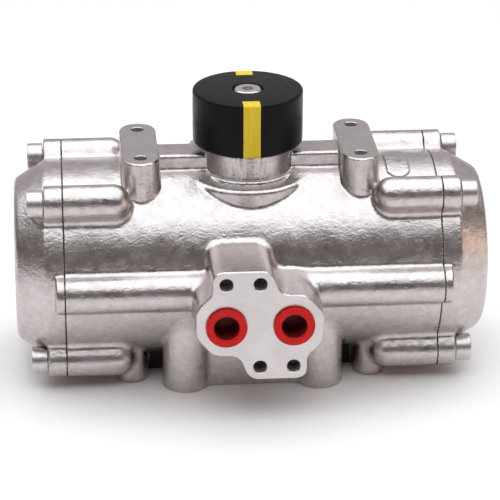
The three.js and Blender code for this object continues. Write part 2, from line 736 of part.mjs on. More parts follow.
function drumBody() {
  const lowerEdge = 1.5;
  const upperEdge = 0.8;
  return turnedZ([
    [0, DRUM_BOTTOM_Z], [DRUM_R - lowerEdge, DRUM_BOTTOM_Z], [DRUM_R, DRUM_BOTTOM_Z + lowerEdge],
    [DRUM_R, DRUM_TOP_Z - upperEdge], [DRUM_R - upperEdge, DRUM_TOP_Z], [0, DRUM_TOP_Z],
  ]);
}

// Space of the marker in the side and top edge of the drum, on the port side.
function markerSpace(clearance) {
  const half = MARKER_W / 2 + clearance;
  const faceY = -DRUM_R - 1;
  const strip = box(
    [-half, faceY, DRUM_BOTTOM_Z - clearance],
    [half, -DRUM_R + MARKER_DEPTH + clearance, DRUM_TOP_Z + clearance],
  );
  const lip = box(
    [-half, faceY, DRUM_TOP_Z - MARKER_DEPTH - clearance],
    [half, -DRUM_R + MARKER_LIP + clearance, DRUM_TOP_Z + clearance],
  );
  return strip.add(lip);
}

function indicatorMarker() {
  return markerSpace(0).intersect(drumBody());
}

const DRUM_COUNTERBORE_Z = DRUM_TOP_Z - 2.5;

function indicatorDrum() {
  const reach = DRIVE_FLAT + GAP;
  const shaftHole = rodZ(DRIVE_END_R + GAP, DRUM_BOTTOM_Z, DRUM_HUB_TOP_Z, 0, 0, MEDIUM_ROUND)
    .intersect(box([-reach, -DRUM_R, 0], [reach, DRUM_R, DRUM_TOP_Z]));
  return cut(
    drumBody(),
    rodZ(DRUM_HOLLOW_R, DRUM_BOTTOM_Z - 1, DRUM_HOLLOW_TOP_Z, 0, 0, MEDIUM_ROUND),
    shaftHole,
    rodZ(SCREW_SHANK_R + 2 * GAP, DRUM_HUB_TOP_Z - 1, DRUM_TOP_Z, 0, 0, HOLE_ROUND),
    rodZ(SCREW_HEAD_R + GAP, DRUM_COUNTERBORE_Z, DRUM_TOP_Z + 1),
    markerSpace(GAP),
    markerSpace(GAP).rotate([0, 0, 180]),
  );
}

function indicatorScrew() {
  const headZ = DRUM_COUNTERBORE_Z + GAP;
  const tipZ = SHAFT_TOP_Z - 1;
  const screw = join(
    rodZ(SCREW_HEAD_R, headZ, DRUM_TOP_Z - 0.1),
    rodZ(SCREW_SHANK_R, tipZ, headZ, 0, 0, HOLE_ROUND),
  );
  return cut(screw, raised(hexagon(2), DRUM_TOP_Z - 1.6, DRUM_TOP_Z + 1));
}

// ---- Port plugs ---------------------------------------------------------------------------

// Red plug about the Y axis, with its open end towards -Y.
function portPlug() {
  const seatY = PORT_FACE_Y - GAP;
  const faceY = seatY - PLUG_FLANGE.thickness;
  const endY = PORT_FACE_Y + PLUG_DEPTH;
  return cut(
    join(
      rodY(PLUG_FLANGE.r, faceY, seatY, 0, 0, MEDIUM_ROUND),
      rodY(PLUG_R, faceY, endY, 0, 0),
    ),
    rodY(PLUG_HOLLOW_R, faceY - 1, endY - PLUG_FLOOR, 0, 0),
  );
}

// ---- Assembly -----------------------------------------------------------------------------

function addCasing() {
  const casing = addBody();
  addPiece(casing, "housing", housing(), castSteel);
  const capScrewShape = capScrew();
  for (const side of SIDES) {
    const name = side < 0 ? "left" : "right";
    const mirrored = (shape) => (side < 0 ? shape.mirror([1, 0, 0]) : shape);
    addPiece(casing, `end_cap_${name}`, mirrored(endCap()), castSteel);
    addPiece(casing, `cap_seal_${name}`, mirrored(capSeal()), blackRubber);
    for (const [sideY, sideZ] of boltCorners) {
      const corner = `${sideZ > 0 ? "upper" : "lower"}_${sideY < 0 ? "front" : "back"}`;
      const mesh = addPiece(casing, `cap_screw_${name}_${corner}`, capScrewShape, brightSteel);
      mesh.position.set(0, sideY * BOLT_Y, AXIS_Z + sideZ * BOLT_Z);
      mesh.rotation.z = side < 0 ? Math.PI : 0;
    }
  }
  for (const side of SIDES) {
    const name = side < 0 ? "closed" : "open";
    addPiece(casing, `stop_nut_${name}`, stopNut(), brightSteel)
      .position.set(side * STOP_X, 0, STOP_Z);
    addPiece(casing, `stop_seal_${name}`, stopSeal(), blackRubber)
      .position.set(side * STOP_X, 0, STOP_Z);
  }
  addPiece(casing, "thrust_bearing", washer(THRUST_BEARING), whitePolymer);
}

function addDriveShaft() {
  const driveShaft = addBody();
  const bottomR = BOTTOM_BORE_R - GAP;
  const topR = TOP_BORE_R - GAP;
  const bottomRing = turnedZ(ringSection(BOTTOM_RING_GROOVE, bottomR));
  const topRing = turnedZ(ringSection(TOP_RING_GROOVE, topR));
  addPiece(driveShaft, "pinion", pinion(), toolSteel);
  addPiece(driveShaft, "pinion_bush_bottom", bush(BOTTOM_BUSH_GROOVE, bottomR), whitePolymer);
  addPiece(driveShaft, "pinion_bush_top", bush(TOP_BUSH_GROOVE, topR), whitePolymer);
  addPiece(driveShaft, "pinion_o_ring_bottom", bottomRing, blackRubber);
  addPiece(driveShaft, "pinion_o_ring_top", topRing, blackRubber);
  addPiece(driveShaft, "stop_cam", stopCam(), toolSteel);
  addPiece(driveShaft, "thrust_washer", washer(THRUST_WASHER), brightSteel);
  addPiece(driveShaft, "snap_ring", snapRing(), toolSteel);
  addPiece(driveShaft, "indicator_cap", indicatorDrum(), blackPlastic);
  addPiece(driveShaft, "indicator_insert_front", indicatorMarker(), yellowPlastic);
  addPiece(driveShaft, "indicator_insert_back", indicatorMarker(), yellowPlastic)
    .rotation.z = Math.PI;
  addPiece(driveShaft, "indicator_screw", indicatorScrew(), brightSteel);
}

// Both pistons are the same piece, half a turn apart about the pinion.
function addPiston(side) {
  const name = side < 0 ? "left" : "right";
  const body = addBody();
  body.rotation.z = side < 0 ? Math.PI : 0;
  const ring = turnedX(ringSection(PISTON_RING_GROOVE, RING_OUTER_R));
  addPiece(body, `piston_${name}`, piston(), aluminium);
  addPiece(body, `piston_wear_ring_${name}`, wearRing(), whitePolymer);
  addPiece(body, `piston_o_ring_${name}`, ring, blackRubber);
  addPiece(body, `rack_guide_${name}`, guideForm(0, RING_OUTER_R), whitePolymer);
}

addCasing();
addDriveShaft();
for (const side of SIDES) {
  addPiston(side);
  addPiece(addBody(), `port_plug_${side < 0 ? "left" : "right"}`, portPlug(), redPlastic)
    .position.set(side * PORT_X, 0, PORT_Z);
  addPiece(addBody(), `stop_screw_${side < 0 ? "closed" : "open"}`, stopScrew(), brightSteel)
    .position.set(side * STOP_X, 0, STOP_Z);
}

export default actuator;
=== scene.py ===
"""Looks of a double-acting pneumatic valve actuator in cast stainless steel.

The CAD frame gives the sizes, places and motion. This script builds the fine surfaces around it:
the castings are solid forms joined with fillets on a fine grid, then machined by cutting; the
turned and hexagonal pieces are built from their profiles. Lengths here are millimetres in the
frame's axes, and become metres where a mesh is made.
"""
import json
import math

import bpy
import numpy as np
from mathutils import Matrix, Vector


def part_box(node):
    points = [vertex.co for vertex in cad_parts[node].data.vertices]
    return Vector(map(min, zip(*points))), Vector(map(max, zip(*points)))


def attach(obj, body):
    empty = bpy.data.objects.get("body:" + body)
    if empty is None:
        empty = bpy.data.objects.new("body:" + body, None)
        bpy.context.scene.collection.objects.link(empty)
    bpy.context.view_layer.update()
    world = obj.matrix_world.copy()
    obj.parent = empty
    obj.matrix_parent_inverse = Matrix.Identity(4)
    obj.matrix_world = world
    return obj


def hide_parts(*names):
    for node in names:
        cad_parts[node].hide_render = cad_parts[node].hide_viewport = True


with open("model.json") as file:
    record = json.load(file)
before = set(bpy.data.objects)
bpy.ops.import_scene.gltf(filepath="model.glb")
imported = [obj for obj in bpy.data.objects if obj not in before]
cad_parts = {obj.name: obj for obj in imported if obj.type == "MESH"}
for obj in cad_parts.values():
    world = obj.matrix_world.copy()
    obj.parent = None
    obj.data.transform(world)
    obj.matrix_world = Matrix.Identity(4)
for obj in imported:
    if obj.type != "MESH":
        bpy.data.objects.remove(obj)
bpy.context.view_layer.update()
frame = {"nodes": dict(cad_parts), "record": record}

MM = 0.001

# ---- Sizes taken from the CAD frame ----


def cad_mm(node):
    """Lowest and highest corners of a CAD node, in millimetres."""
    low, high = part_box(node)
    return np.array(low) / MM, np.array(high) / MM


HOUSING_LOW, HOUSING_HIGH = cad_mm("housing")
DRUM_LOW, DRUM_HIGH = cad_mm("indicator_cap")
SEAL_LOW, SEAL_HIGH = cad_mm("cap_seal_right")
SCREW_LOW, SCREW_HIGH = cad_mm("cap_screw_right_upper_back")
PLUG_LOW, PLUG_HIGH = cad_mm("port_plug_right")
STOP_LOW, STOP_HIGH = cad_mm("stop_screw_open")
NUT_LOW, NUT_HIGH = cad_mm("stop_nut_open")

AXIS_Z = (SEAL_LOW[2] + SEAL_HIGH[2]) / 2
HOUSING_END_X = HOUSING_HIGH[0]
PORT_FACE_Y = HOUSING_LOW[1]
STOP_BOSS_Y = HOUSING_HIGH[1]
PAD_TOP_Z = HOUSING_HIGH[2]
CAP_FACE_X = HOUSING_END_X + 0.03
END_X = cad_mm("end_cap_right")[1][0]
BOLT_Y = (SCREW_LOW[1] + SCREW_HIGH[1]) / 2
BOLT_Z = (SCREW_LOW[2] + SCREW_HIGH[2]) / 2 - AXIS_Z
BOLT_DISTANCE = math.hypot(BOLT_Y, BOLT_Z)
PORT_X = (PLUG_LOW[0] + PLUG_HIGH[0]) / 2
PORT_Z = (PLUG_LOW[2] + PLUG_HIGH[2]) / 2
STOP_X = (STOP_LOW[0] + STOP_HIGH[0]) / 2
STOP_Z = (STOP_LOW[2] + STOP_HIGH[2]) / 2
DRUM_R = DRUM_HIGH[0]

# ---- Sizes of the casting ----

ROOT_Z = AXIS_Z + 15  # everything on top starts inside the cylinder
BODY_R = 36.2
BORE_R = 31.5
LUG_R = 6.5
LUG_START_X = 50.5
LUG_ROOT = 20
PAD_X = 40
PAD_HOLE_Y = 15
PAD_HALF_W = 6.75
RAIL_HALF_W = 6.6
RAIL_TOP_Z = 83.2
NECK_R = 16.7
NECK_TOP_Z = 85.5
RING_R = 18.5
RING_TOP_Z = 76.7
BOSS_R = 24.3
BOSS_TOP_Z = 75.3
RIB_Y = -35.75
RIB_R = 7
FLANGE_HALF = 27.7
FLANGE_CORNER_R = 3
FLANGE_TOP_Z = 24
OUTER_HOLE = 24.75
INNER_HOLE = 17.68
COLUMN_R = 8.6
COLUMN_TOP_Z = 31
POST_X = 44.5
POST_HALF_W = 6
POST_HALF_L = 18
POST_TOP_Z = 26
WEB_HALF_Y = 12
WEB_TOP_Z = 8
# The region under the cylinder, beside the flange, that takes the near-black painted shade.
SHADE_HALF_Y = 20
SHADE_TOP_Z = 10
STOP_BOSS_R = 7.5
STOP_BOSS_ROOT_Y = 15
STOP_SCREW_R = 4
STOP_BORE_R = 4.3
STOP_BORE_END_Y = 12
MARKER_HALF_W = 3.1
MARKER_DEPTH = 1.6
MARKER_LIP = 5.5
DRUM_HOLLOW_R = 14.6
DRUM_HOLLOW_TOP_Z = 92.3
CAP_RIM_X = 75.2
CAP_END_R = 29
CAP_HOLLOW_R = 30
CAP_HOLLOW_X = 80.5
STUB_END_X = 71.8
PORT_HOLE_Z = 16
PORT_BORE_R = 6.6
PORT_DEPTH = 13
CHANNEL_Y = -38.5
BOTTOM_BORE_R = 15.75
SPIGOT_R = 17.5
TOP_BORE_R = 10
CAP_THREAD_R = 3
CAP_HOLE_X = 52
M8_R = 3.4
M8_DEPTH = 13
M6_R = 2.5
M6_DEPTH = 10
M5_R = 2.4
M5_DEPTH = 9
SIDES = (-1, 1)

# ---- Solid forms: each gives the distance to its surface, negative inside ----


def hypot(*parts):
    return np.sqrt(sum(part * part for part in parts))


def above(value, limit=0.0):
    return np.maximum(value, limit)


def fillet_join(a, b, radius):
    """Union of two forms with a round inside corner."""
    if radius == 0:
        return np.minimum(a, b)
    return above(np.minimum(a, b), radius) - hypot(above(radius - a), above(radius - b))


def round_meet(a, b, radius):
    """Intersection of two forms with a round outside edge."""
    return np.minimum(np.maximum(a, b), -radius) + hypot(above(radius + a), above(radius + b))


def waviness(x, y, z):
    """Slow unevenness of a cast wall."""
    slow = np.sin(0.31 * x + 0.43 * y) * np.sin(0.37 * z + 0.7) + np.sin(0.23 * x - 0.41 * z + 1.1)
    quick = np.sin(0.83 * x + 0.57 * z + 2.0) * np.sin(0.71 * y - 0.66 * z)
    return 0.035 * slow + 0.02 * quick


def cylinder_form(x, y, z):
    return hypot(y, z - AXIS_Z) - BODY_R + waviness(x, y, z)


def rib_form(x, y, z):
    return hypot(y - RIB_Y, z - AXIS_Z) - RIB_R


def corner_frame(y, z):
    """Coordinates at the nearest bolt corner: along the radius, and across it."""
    y, z = np.abs(y), np.abs(z - AXIS_Z)
    along = (y * BOLT_Y + z * BOLT_Z) / BOLT_DISTANCE
    across = (y * BOLT_Z - z * BOLT_Y) / BOLT_DISTANCE
    return along, across


def lug_form(x, y, z):
    """The eight bolt lugs, each with a web down to the cylinder."""
    along, across = corner_frame(y, z)
    capsule = hypot(above(LUG_START_X - np.abs(x)), across, above(along - BOLT_DISTANCE)) - LUG_R
    return np.maximum(capsule, LUG_ROOT - along)


def slot_distance(x, y, half_width, half_length):
    return hypot(x, above(np.abs(y) - half_length)) - half_width


def pad_form(x, y, z):
    """The two accessory posts. Their top edge is chamfered just below the machined face."""
    side = slot_distance(np.abs(x) - PAD_X, y, PAD_HALF_W, PAD_HOLE_Y)
    chamfer_start = PAD_TOP_Z - 0.55
    return np.maximum(side + above(z - chamfer_start), ROOT_Z - z)


def rail_form(x, y, z):
    side = np.maximum(np.abs(y) - RAIL_HALF_W, np.abs(x) - PAD_X)
    return np.maximum(round_meet(side, z - RAIL_TOP_Z, 1.3), ROOT_Z - z)


def neck_form(x, y, z):
    side = hypot(x, y) - NECK_R
    return np.maximum(side + above(z - NECK_TOP_Z + 0.4), ROOT_Z - z)


def ring_form(x, y, z):
    return np.maximum(round_meet(hypot(x, y) - RING_R, z - RING_TOP_Z, 1.3), ROOT_Z - z)


def boss_form(x, y, z):
    return np.maximum(round_meet(hypot(x, y) - BOSS_R, z - BOSS_TOP_Z, 1.9), ROOT_Z - z)


def flange_form(x, y, z):
    straight = FLANGE_HALF - FLANGE_CORNER_R
    side = hypot(above(np.abs(x) - straight), above(np.abs(y) - straight)) - FLANGE_CORNER_R
    return np.maximum(side, z - FLANGE_TOP_Z)


def column_form(x, y, z):
    side = hypot(np.abs(x) - OUTER_HOLE, np.abs(y) - OUTER_HOLE) - COLUMN_R
    return np.maximum(side, z - COLUMN_TOP_Z)


def side_post_form(x, y, z):
    side = slot_distance(np.abs(x) - POST_X, y, POST_HALF_W, POST_HALF_L)
    return np.maximum(side + above(1.2 - z) * 0.5, z - POST_TOP_Z)


def base_web_form(x, y, z):
    side = np.maximum(np.abs(x) - POST_X, np.abs(y) - WEB_HALF_Y)
    return round_meet(side, z - WEB_TOP_Z, 0.6)


def stop_boss_form(x, y, z):
    side = hypot(np.abs(x) - STOP_X, z - STOP_Z) - STOP_BOSS_R
    return np.maximum(side + above(y - STOP_BOSS_Y + 0.5), STOP_BOSS_ROOT_Y - y)


def label_form(x, y, z):
    """A blank raised plate on the cylinder, between the upper right lugs."""
    centre_x, centre_y, raised = 54.6, -4, 0.75
    half_width, half_length = 4.2, 6.0
    band = hypot(y, z - AXIS_Z) - BODY_R - raised
    across = slot_distance(x - centre_x, y - centre_y, half_width, half_length)
    return round_meet(np.maximum(band, AXIS_Z - z), across, 0.5)


def port_corners():
    """Outline of the port face: [x, z, corner reach], the same after half a turn."""
    half = [
        (-17.0, 21.0, 4.5), (4.0, 21.0, 4.0), (7.4, 11.7, 3.5),
        (16.5, 11.5, 3.0), (22.7, 4.4, 2.5), (22.7, -6.7, 3.0), (16.9, -12.4, 2.0),
    ]
    return half + [(-x, -z, reach) for x, z, reach in half]


def rounded_outline(corners, steps=8):
    """Points along a closed outline whose corners are rounded by curves."""
    points = []
    for i, (x, y, reach) in enumerate(corners):
        here = np.array([x, y])
        before = np.array(corners[i - 1][:2]) - here
        after = np.array(corners[(i + 1) % len(corners)][:2]) - here
        start = here + before / np.linalg.norm(before) * reach
        end = here + after / np.linalg.norm(after) * reach
        for t in np.linspace(0, 1, steps):
            points.append((1 - t) ** 2 * start + 2 * t * (1 - t) * here + t * t * end)
    return np.array(points)


PORT_OUTLINE = rounded_outline(port_corners()) + [0, PORT_Z]


def outline_distance(x, y, outline):
    """Signed distance to a closed outline, negative inside."""
    best = np.full(np.broadcast(x, y).shape, 1e9)
    inside = np.zeros(best.shape, bool)
    for (x0, y0), (x1, y1) in zip(outline, np.roll(outline, -1, axis=0)):
        length_2 = (x1 - x0) ** 2 + (y1 - y0) ** 2
        if length_2 == 0:
            continue
        t = np.clip(((x - x0) * (x1 - x0) + (y - y0) * (y1 - y0)) / length_2, 0, 1)
        best = np.minimum(best, (x - x0 - t * (x1 - x0)) ** 2 + (y - y0 - t * (y1 - y0)) ** 2)
        if y0 != y1:
            crosses = ((y0 > y) != (y1 > y)) & (x < (x1 - x0) * (y - y0) / (y1 - y0) + x0)
            inside = inside ^ crosses
    return np.sqrt(best) * np.where(inside, -1, 1)


def port_block_form(x, y, z):
    chamfer = above(PORT_FACE_Y + 0.35 - y)
    return np.maximum(outline_distance(x, z, PORT_OUTLINE) + chamfer, y - RIB_Y - 4)


# ---- Grid sampling and surface ----

BLOCK = 8  # samples along each side of a block
FAR = 20  # the distance written into blocks that the surface doesn't cross
DIAGONAL = math.sqrt(3) / 2  # from the middle of a unit cube to its corner
SLACK = 1.35  # the forms' distances aren't exact, so a block looks a little further
MARGIN = 0.5


def block_axes(low, blocks, step):
    """Sample positions of each block along X, Y and Z, shaped to combine."""
    inner = np.arange(BLOCK) * step
    axes = []
    for axis in range(3):
        shape = [1, 1, 1]
        shape[axis] = BLOCK
        start = low[axis] + blocks[:, axis] * BLOCK * step
        axes.append((start[:, None] + inner).reshape([len(blocks), *shape]).astype(np.float32))
    return axes


def combine(forms, x, y, z, use=None, kind=np.float32):
    """Distance to all the forms together. use says which blocks each form reaches."""
    total = np.full(np.broadcast(x, y, z).shape, 1e3, kind)
    for i, (form, radius) in enumerate(forms):
        if use is None:
            total = fillet_join(total, form(x, y, z), radius)
            continue
        near = use[i]
        if near.any():
            total[near] = fillet_join(total[near], form(x[near], y[near], z[near]), radius)
    return total


def sample_forms(forms, low, high, step):
    """A grid of distances, exact in the blocks that the surface crosses."""
    low, high = np.array(low, float), np.array(high, float)
    counts = np.ceil((high - low) / (step * BLOCK)).astype(int)
    blocks = np.stack(np.meshgrid(*[np.arange(n) for n in counts], indexing="ij"), -1).reshape(-1, 3)
    centres = low + (blocks + 0.5 - 0.5 / BLOCK) * BLOCK * step
    cx, cy, cz = centres.T
    reach = BLOCK * step * DIAGONAL * SLACK
    coarse = combine(forms, cx, cy, cz)
    active = np.abs(coarse) < reach + MARGIN
    use = [form(cx[active], cy[active], cz[active]) < reach + radius + MARGIN for form, radius in forms]
    x, y, z = block_axes(low, blocks[active], step)
    fine = combine(forms, x, y, z, use)
    grid = np.empty([len(blocks), BLOCK, BLOCK, BLOCK], np.float32)
    grid[:] = np.where(coarse < 0, -FAR, FAR)[:, None, None, None]
    grid[active] = fine
    grid = grid.reshape([*counts, BLOCK, BLOCK, BLOCK]).transpose(0, 3, 1, 4, 2, 5)
    return grid.reshape(counts * BLOCK), low


def settle(vertices, distance, step, rounds=2):
    """Moves vertices that are near the form's surface onto it."""
    probe = 0.05
    for _ in range(rounds):
        x, y, z = vertices.T
        here = distance(x, y, z)
        slope = np.stack([
            distance(x + probe, y, z) - distance(x - probe, y, z),
            distance(x, y + probe, z) - distance(x, y - probe, z),
            distance(x, y, z + probe) - distance(x, y, z - probe),
        ], -1) / (2 * probe)
        size = np.linalg.norm(slope, axis=1).clip(0.3)
        move = np.clip(here / size, -0.4 * step, 0.4 * step)
        vertices = vertices - slope / size[:, None] * move[:, None]
    return vertices


CORNERS = [(i, j, k) for i in (0, 1) for j in (0, 1) for k in (0, 1)]


def surface_of(grid, low, step):
    """Vertices and quads where the grid of distances changes sign."""
    inside = grid < 0
    nx, ny, nz = grid.shape
    count = np.zeros((nx - 1, ny - 1, nz - 1), np.uint8)
    for i, j, k in CORNERS:
        count += inside[i:nx - 1 + i, j:ny - 1 + j, k:nz - 1 + k]
    cells = np.argwhere((count > 0) & (count < 8))
    values = [grid[tuple((cells + corner).T)] for corner in CORNERS]
    total = np.zeros((len(cells), 3))
    hits = np.zeros(len(cells))
    for a, corner_a in enumerate(CORNERS):
        for b, corner_b in enumerate(CORNERS):
            if b <= a or sum(abs(p - q) for p, q in zip(corner_a, corner_b)) != 1:
                continue
            va, vb = values[a], values[b]
            crosses = (va < 0) != (vb < 0)
            t = np.where(crosses, va / np.where(crosses, va - vb, 1), 0)
            point = np.array(corner_a) + t[:, None] * (np.array(corner_b) - np.array(corner_a))
            total += point * crosses[:, None]
            hits += crosses
    vertices = low + (cells + total / hits[:, None]) * step
    number = np.full(count.shape, -1, np.int32)
    number[tuple(cells.T)] = np.arange(len(cells))
    quads = []
    for axis in range(3):
        u, v = (axis + 1) % 3, (axis + 2) % 3
        first = [slice(1, n - 1) for n in grid.shape]
        second = list(first)
        first[axis] = slice(0, grid.shape[axis] - 1)
        second[axis] = slice(1, grid.shape[axis])
        starts, ends = inside[tuple(first)], inside[tuple(second)]
        for wanted, flip in ((starts & ~ends, False), (~starts & ends, True)):
            found = np.argwhere(wanted)
            base = found + [0 if d == axis else 1 for d in range(3)]
            ring = []
            for du, dv in ((-1, -1), (0, -1), (0, 0), (-1, 0)):
                cell = base.copy()
                cell[:, u] += du
                cell[:, v] += dv
                ring.append(number[tuple(cell.T)])
            quads.append(np.stack(ring[::-1] if flip else ring, -1))
    return vertices, np.concatenate(quads)


# ---- Meshes ----


def add_object(name, data):
    obj = bpy.data.objects.new(name, data)
    bpy.context.scene.collection.objects.link(obj)
    return obj


def make_object(name, vertices_mm, faces):
    mesh = bpy.data.meshes.new(name)
    vertices = np.asarray(vertices_mm, float) * MM
    mesh.from_pydata(vertices, [], faces if isinstance(faces, list) else faces.tolist())
    mesh.validate()
    return add_object(name, mesh)


def bake_modifiers(obj):
    """Replaces the mesh by what its modifiers make of it."""
    graph = bpy.context.evaluated_depsgraph_get()
    mesh = bpy.data.meshes.new_from_object(obj.evaluated_get(graph))
    obj.modifiers.clear()
    old = obj.data
    obj.data = mesh
    bpy.data.meshes.remove(old)


def thin_out(obj, keep):
    """Merges faces where the surface is flat."""
    decimate = obj.modifiers.new("thin", "DECIMATE")
    decimate.ratio = keep
    decimate.use_collapse_triangulate = True
    bake_modifiers(obj)


def merge_solids(solids):
    """One (vertices, faces) pair out of several."""
    vertices, faces = [], []
    for points, loops in solids:
        offset = len(vertices)
        vertices.extend(map(tuple, points))
        faces.extend([[index + offset for index in loop] for loop in loops])
    return vertices, faces


def combine_with(obj, solids, operation="DIFFERENCE"):
    """Cuts, joins or keeps obj by solids that don't touch each other."""
    tool = make_object("tool", *merge_solids(solids))
    boolean = obj.modifiers.new("cut", "BOOLEAN")
    boolean.operation = operation
    boolean.solver = "MANIFOLD"
    boolean.object = tool
    bake_modifiers(obj)
    mesh = tool.data
    bpy.data.objects.remove(tool)
    bpy.data.meshes.remove(mesh)


def shade(obj, degrees=32):
    """Smooth shading, with edges sharper than this angle left crisp."""
    mesh = obj.data
    mesh.shade_smooth()
    mesh.set_sharp_from_angle(angle=math.radians(degrees))
    return obj


# Which made coordinate becomes X, Y and Z when a solid made about Z lies about another axis.
AXIS_ORDER = {"X": (2, 0, 1), "Y": (0, 2, 1), "Z": (0, 1, 2)}


def aim(points, axis, centre):
    """Points made about +Z, moved to lie about another axis and centre."""
    return np.asarray(points, float)[:, AXIS_ORDER[axis]] + np.array(centre)


def turned(profile, axis="Z", centre=(0, 0, 0), sides=64):
    """Solid of revolution. The profile is (radius, along) pairs. It starts and ends on the axis, or is
    the closed outline of a ring."""
    is_ring = profile[0][0] > 0
    points, rows = [], []
    for radius, along in profile:
        if radius == 0:
            rows.append([len(points)])
            points.append((0, 0, along))
            continue
        rows.append(list(range(len(points), len(points) + sides)))
        for i in range(sides):
            angle = 2 * math.pi * i / sides
            points.append((radius * math.cos(angle), radius * math.sin(angle), along))
    faces = []
    pairs = list(zip(rows, rows[1:])) + ([(rows[-1], rows[0])] if is_ring else [])
    for low, high in pairs:
        for i in range(sides):
            j = (i + 1) % sides
            if len(low) == 1:
                faces.append([low[0], high[j], high[i]])
            elif len(high) == 1:
                faces.append([low[i], low[j], high[0]])
            else:
                faces.append([low[i], low[j], high[j], high[i]])
    return outward(aim(points, axis, centre), faces)


def prism(outline, z0, z1, axis="Z", centre=(0, 0, 0)):
    """Straight solid on an outline."""
    n = len(outline)
    points = [(x, y, z0) for x, y in outline] + [(x, y, z1) for x, y in outline]
    faces = [list(range(n - 1, -1, -1)), list(range(n, 2 * n))]
    faces += [[i, (i + 1) % n, n + (i + 1) % n, n + i] for i in range(n)]
    return outward(aim(points, axis, centre), faces)


def slab(low, high):
    """Box between two corners."""
    (x0, y0, z0), (x1, y1, z1) = low, high
    return prism([(x0, y0), (x1, y0), (x1, y1), (x0, y1)], z0, z1)


def outward(points, faces):
    """The same solid with its faces pointing out."""
    volume = 0.0
    for loop in faces:
        first = points[loop[0]]
        for b, c in zip(loop[1:], loop[2:]):
            volume += np.dot(first, np.cross(points[b], points[c]))
    if volume < 0:
        faces = [loop[::-1] for loop in faces]
    return points, faces


def hexagon(half_width, turn=0.0):
    reach = half_width / math.cos(math.pi / 6)
    angles = [turn + i * math.pi / 3 for i in range(6)]
    return [(reach * math.cos(a), reach * math.sin(a)) for a in angles]


def rod_profile(radius, start, end):
    return [(0, start), (radius, start), (radius, end), (0, end)]


def hole(radius, start, end, axis, centre, chamfer=0.5, sides=40):
    """Cutter for a hole from its mouth, at start, to its end, with a countersunk mouth."""
    out = 1 if start > end else -1
    point = radius * 0.6
    profile = [
        (0, start + out), (radius + chamfer + 1, start + out), (radius, start - out * chamfer),
        (radius, end + out * point), (0, end),
    ]
    return turned(profile, axis, centre, sides)


# ---- Materials ----


def set_range(node, from_low, from_high, to_low, to_high):
    """Sets what a Map Range node maps from and to."""
    node.inputs["From Min"].default_value = from_low
    node.inputs["From Max"].default_value = from_high
    node.inputs["To Min"].default_value = to_low
    node.inputs["To Max"].default_value = to_high


class Look:
    """A procedural material built node by node."""

    def __init__(self, name, colour, metallic, roughness):
        self.material = bpy.data.materials.new(name)
        self.material.use_nodes = True
        self.nodes = self.material.node_tree.nodes
        self.links = self.material.node_tree.links
        self.shader = self.nodes["Principled BSDF"]
        self.shader.inputs["Metallic"].default_value = metallic
        self.shader.inputs["Roughness"].default_value = roughness
        self.shader.inputs["Base Color"].default_value = (*colour, 1)
        self.colour = colour
        self.paint = None
        self.roughness = roughness
        self.place = self.nodes.new("ShaderNodeTexCoord").outputs["Object"]
        self.normal = None

    def link(self, source, target):
        self.links.new(source, target)

    def noise(self, size_mm, detail=2.0, stretch=(1, 1, 1), distortion=0.0, roughness=0.5):
        mapping = self.nodes.new("ShaderNodeMapping")
        mapping.inputs["Scale"].default_value = [1 / (size_mm * MM * s) for s in stretch]
        self.link(self.place, mapping.inputs["Vector"])
        noise = self.nodes.new("ShaderNodeTexNoise")
        noise.inputs["Scale"].default_value = 1
        noise.inputs["Detail"].default_value = detail
        noise.inputs["Roughness"].default_value = roughness
        noise.inputs["Distortion"].default_value = distortion
        self.link(mapping.outputs["Vector"], noise.inputs["Vector"])
        return noise.outputs["Fac"]

    def ramp(self, value, low, high, from_low=0.3, from_high=0.7):
        scale = self.nodes.new("ShaderNodeMapRange")
        set_range(scale, from_low, from_high, low, high)
        self.link(value, scale.inputs["Value"])
        return scale.outputs["Result"]

    def vary_roughness(self, value, spread):
        self.link(self.ramp(value, self.roughness - spread, self.roughness + spread),
                  self.shader.inputs["Roughness"])

    def lay_over(self, factor, other):
        """Mixes another colour over the paint so far."""
        mix = self.nodes.new("ShaderNodeMix")
        mix.data_type = "RGBA"
        mix.inputs["A"].default_value = (*self.colour, 1)
        if self.paint is not None:
            self.link(self.paint, mix.inputs["A"])
        mix.inputs["B"].default_value = (*other, 1)
        self.link(factor, mix.inputs["Factor"])
        self.paint = mix.outputs["Result"]
        self.link(self.paint, self.shader.inputs["Base Color"])

    def vary_colour(self, value, other):
        self.lay_over(self.ramp(value, 0, 1), other)

    def wear_edges(self, worn, width_mm=0.3):
        """Edges are rubbed to the worn colour. They are where a rounded normal leaves the true one."""
        rounded = self.nodes.new("ShaderNodeBevel")
        rounded.samples = 4
        rounded.inputs["Radius"].default_value = width_mm * MM
        agreement = self.nodes.new("ShaderNodeVectorMath")
        agreement.operation = "DOT_PRODUCT"
        self.link(rounded.outputs["Normal"], agreement.inputs[0])
        self.link(self.nodes.new("ShaderNodeNewGeometry").outputs["Normal"], agreement.inputs[1])
        self.lay_over(self.ramp(agreement.outputs["Value"], 0.7, 0, 0.88, 0.98), worn)

    def bump(self, value, height_mm, strength=1.0):
        bump = self.nodes.new("ShaderNodeBump")
        bump.inputs["Strength"].default_value = strength
        bump.inputs["Distance"].default_value = height_mm * MM
        self.link(value, bump.inputs["Height"])
        if self.normal is not None:
            self.link(self.normal, bump.inputs["Normal"])
        self.normal = bump.outputs["Normal"]
        self.link(self.normal, self.shader.inputs["Normal"])


def cast_stainless():
    look = Look("cast_stainless", (0.63, 0.575, 0.57), 1.0, 0.32)
    look.vary_colour(look.noise(3, 4, roughness=0.7), (0.50, 0.44, 0.435))
    look.wear_edges((0.74, 0.70, 0.69))
    look.vary_roughness(look.noise(4, 3), 0.06)
    look.bump(look.noise(8, 2), 0.10)
    look.bump(look.noise(1.8, 2, stretch=(1.5, 1, 1), distortion=0.5), 0.115)
    look.bump(look.noise(0.8, 2), 0.095)
    return look.material


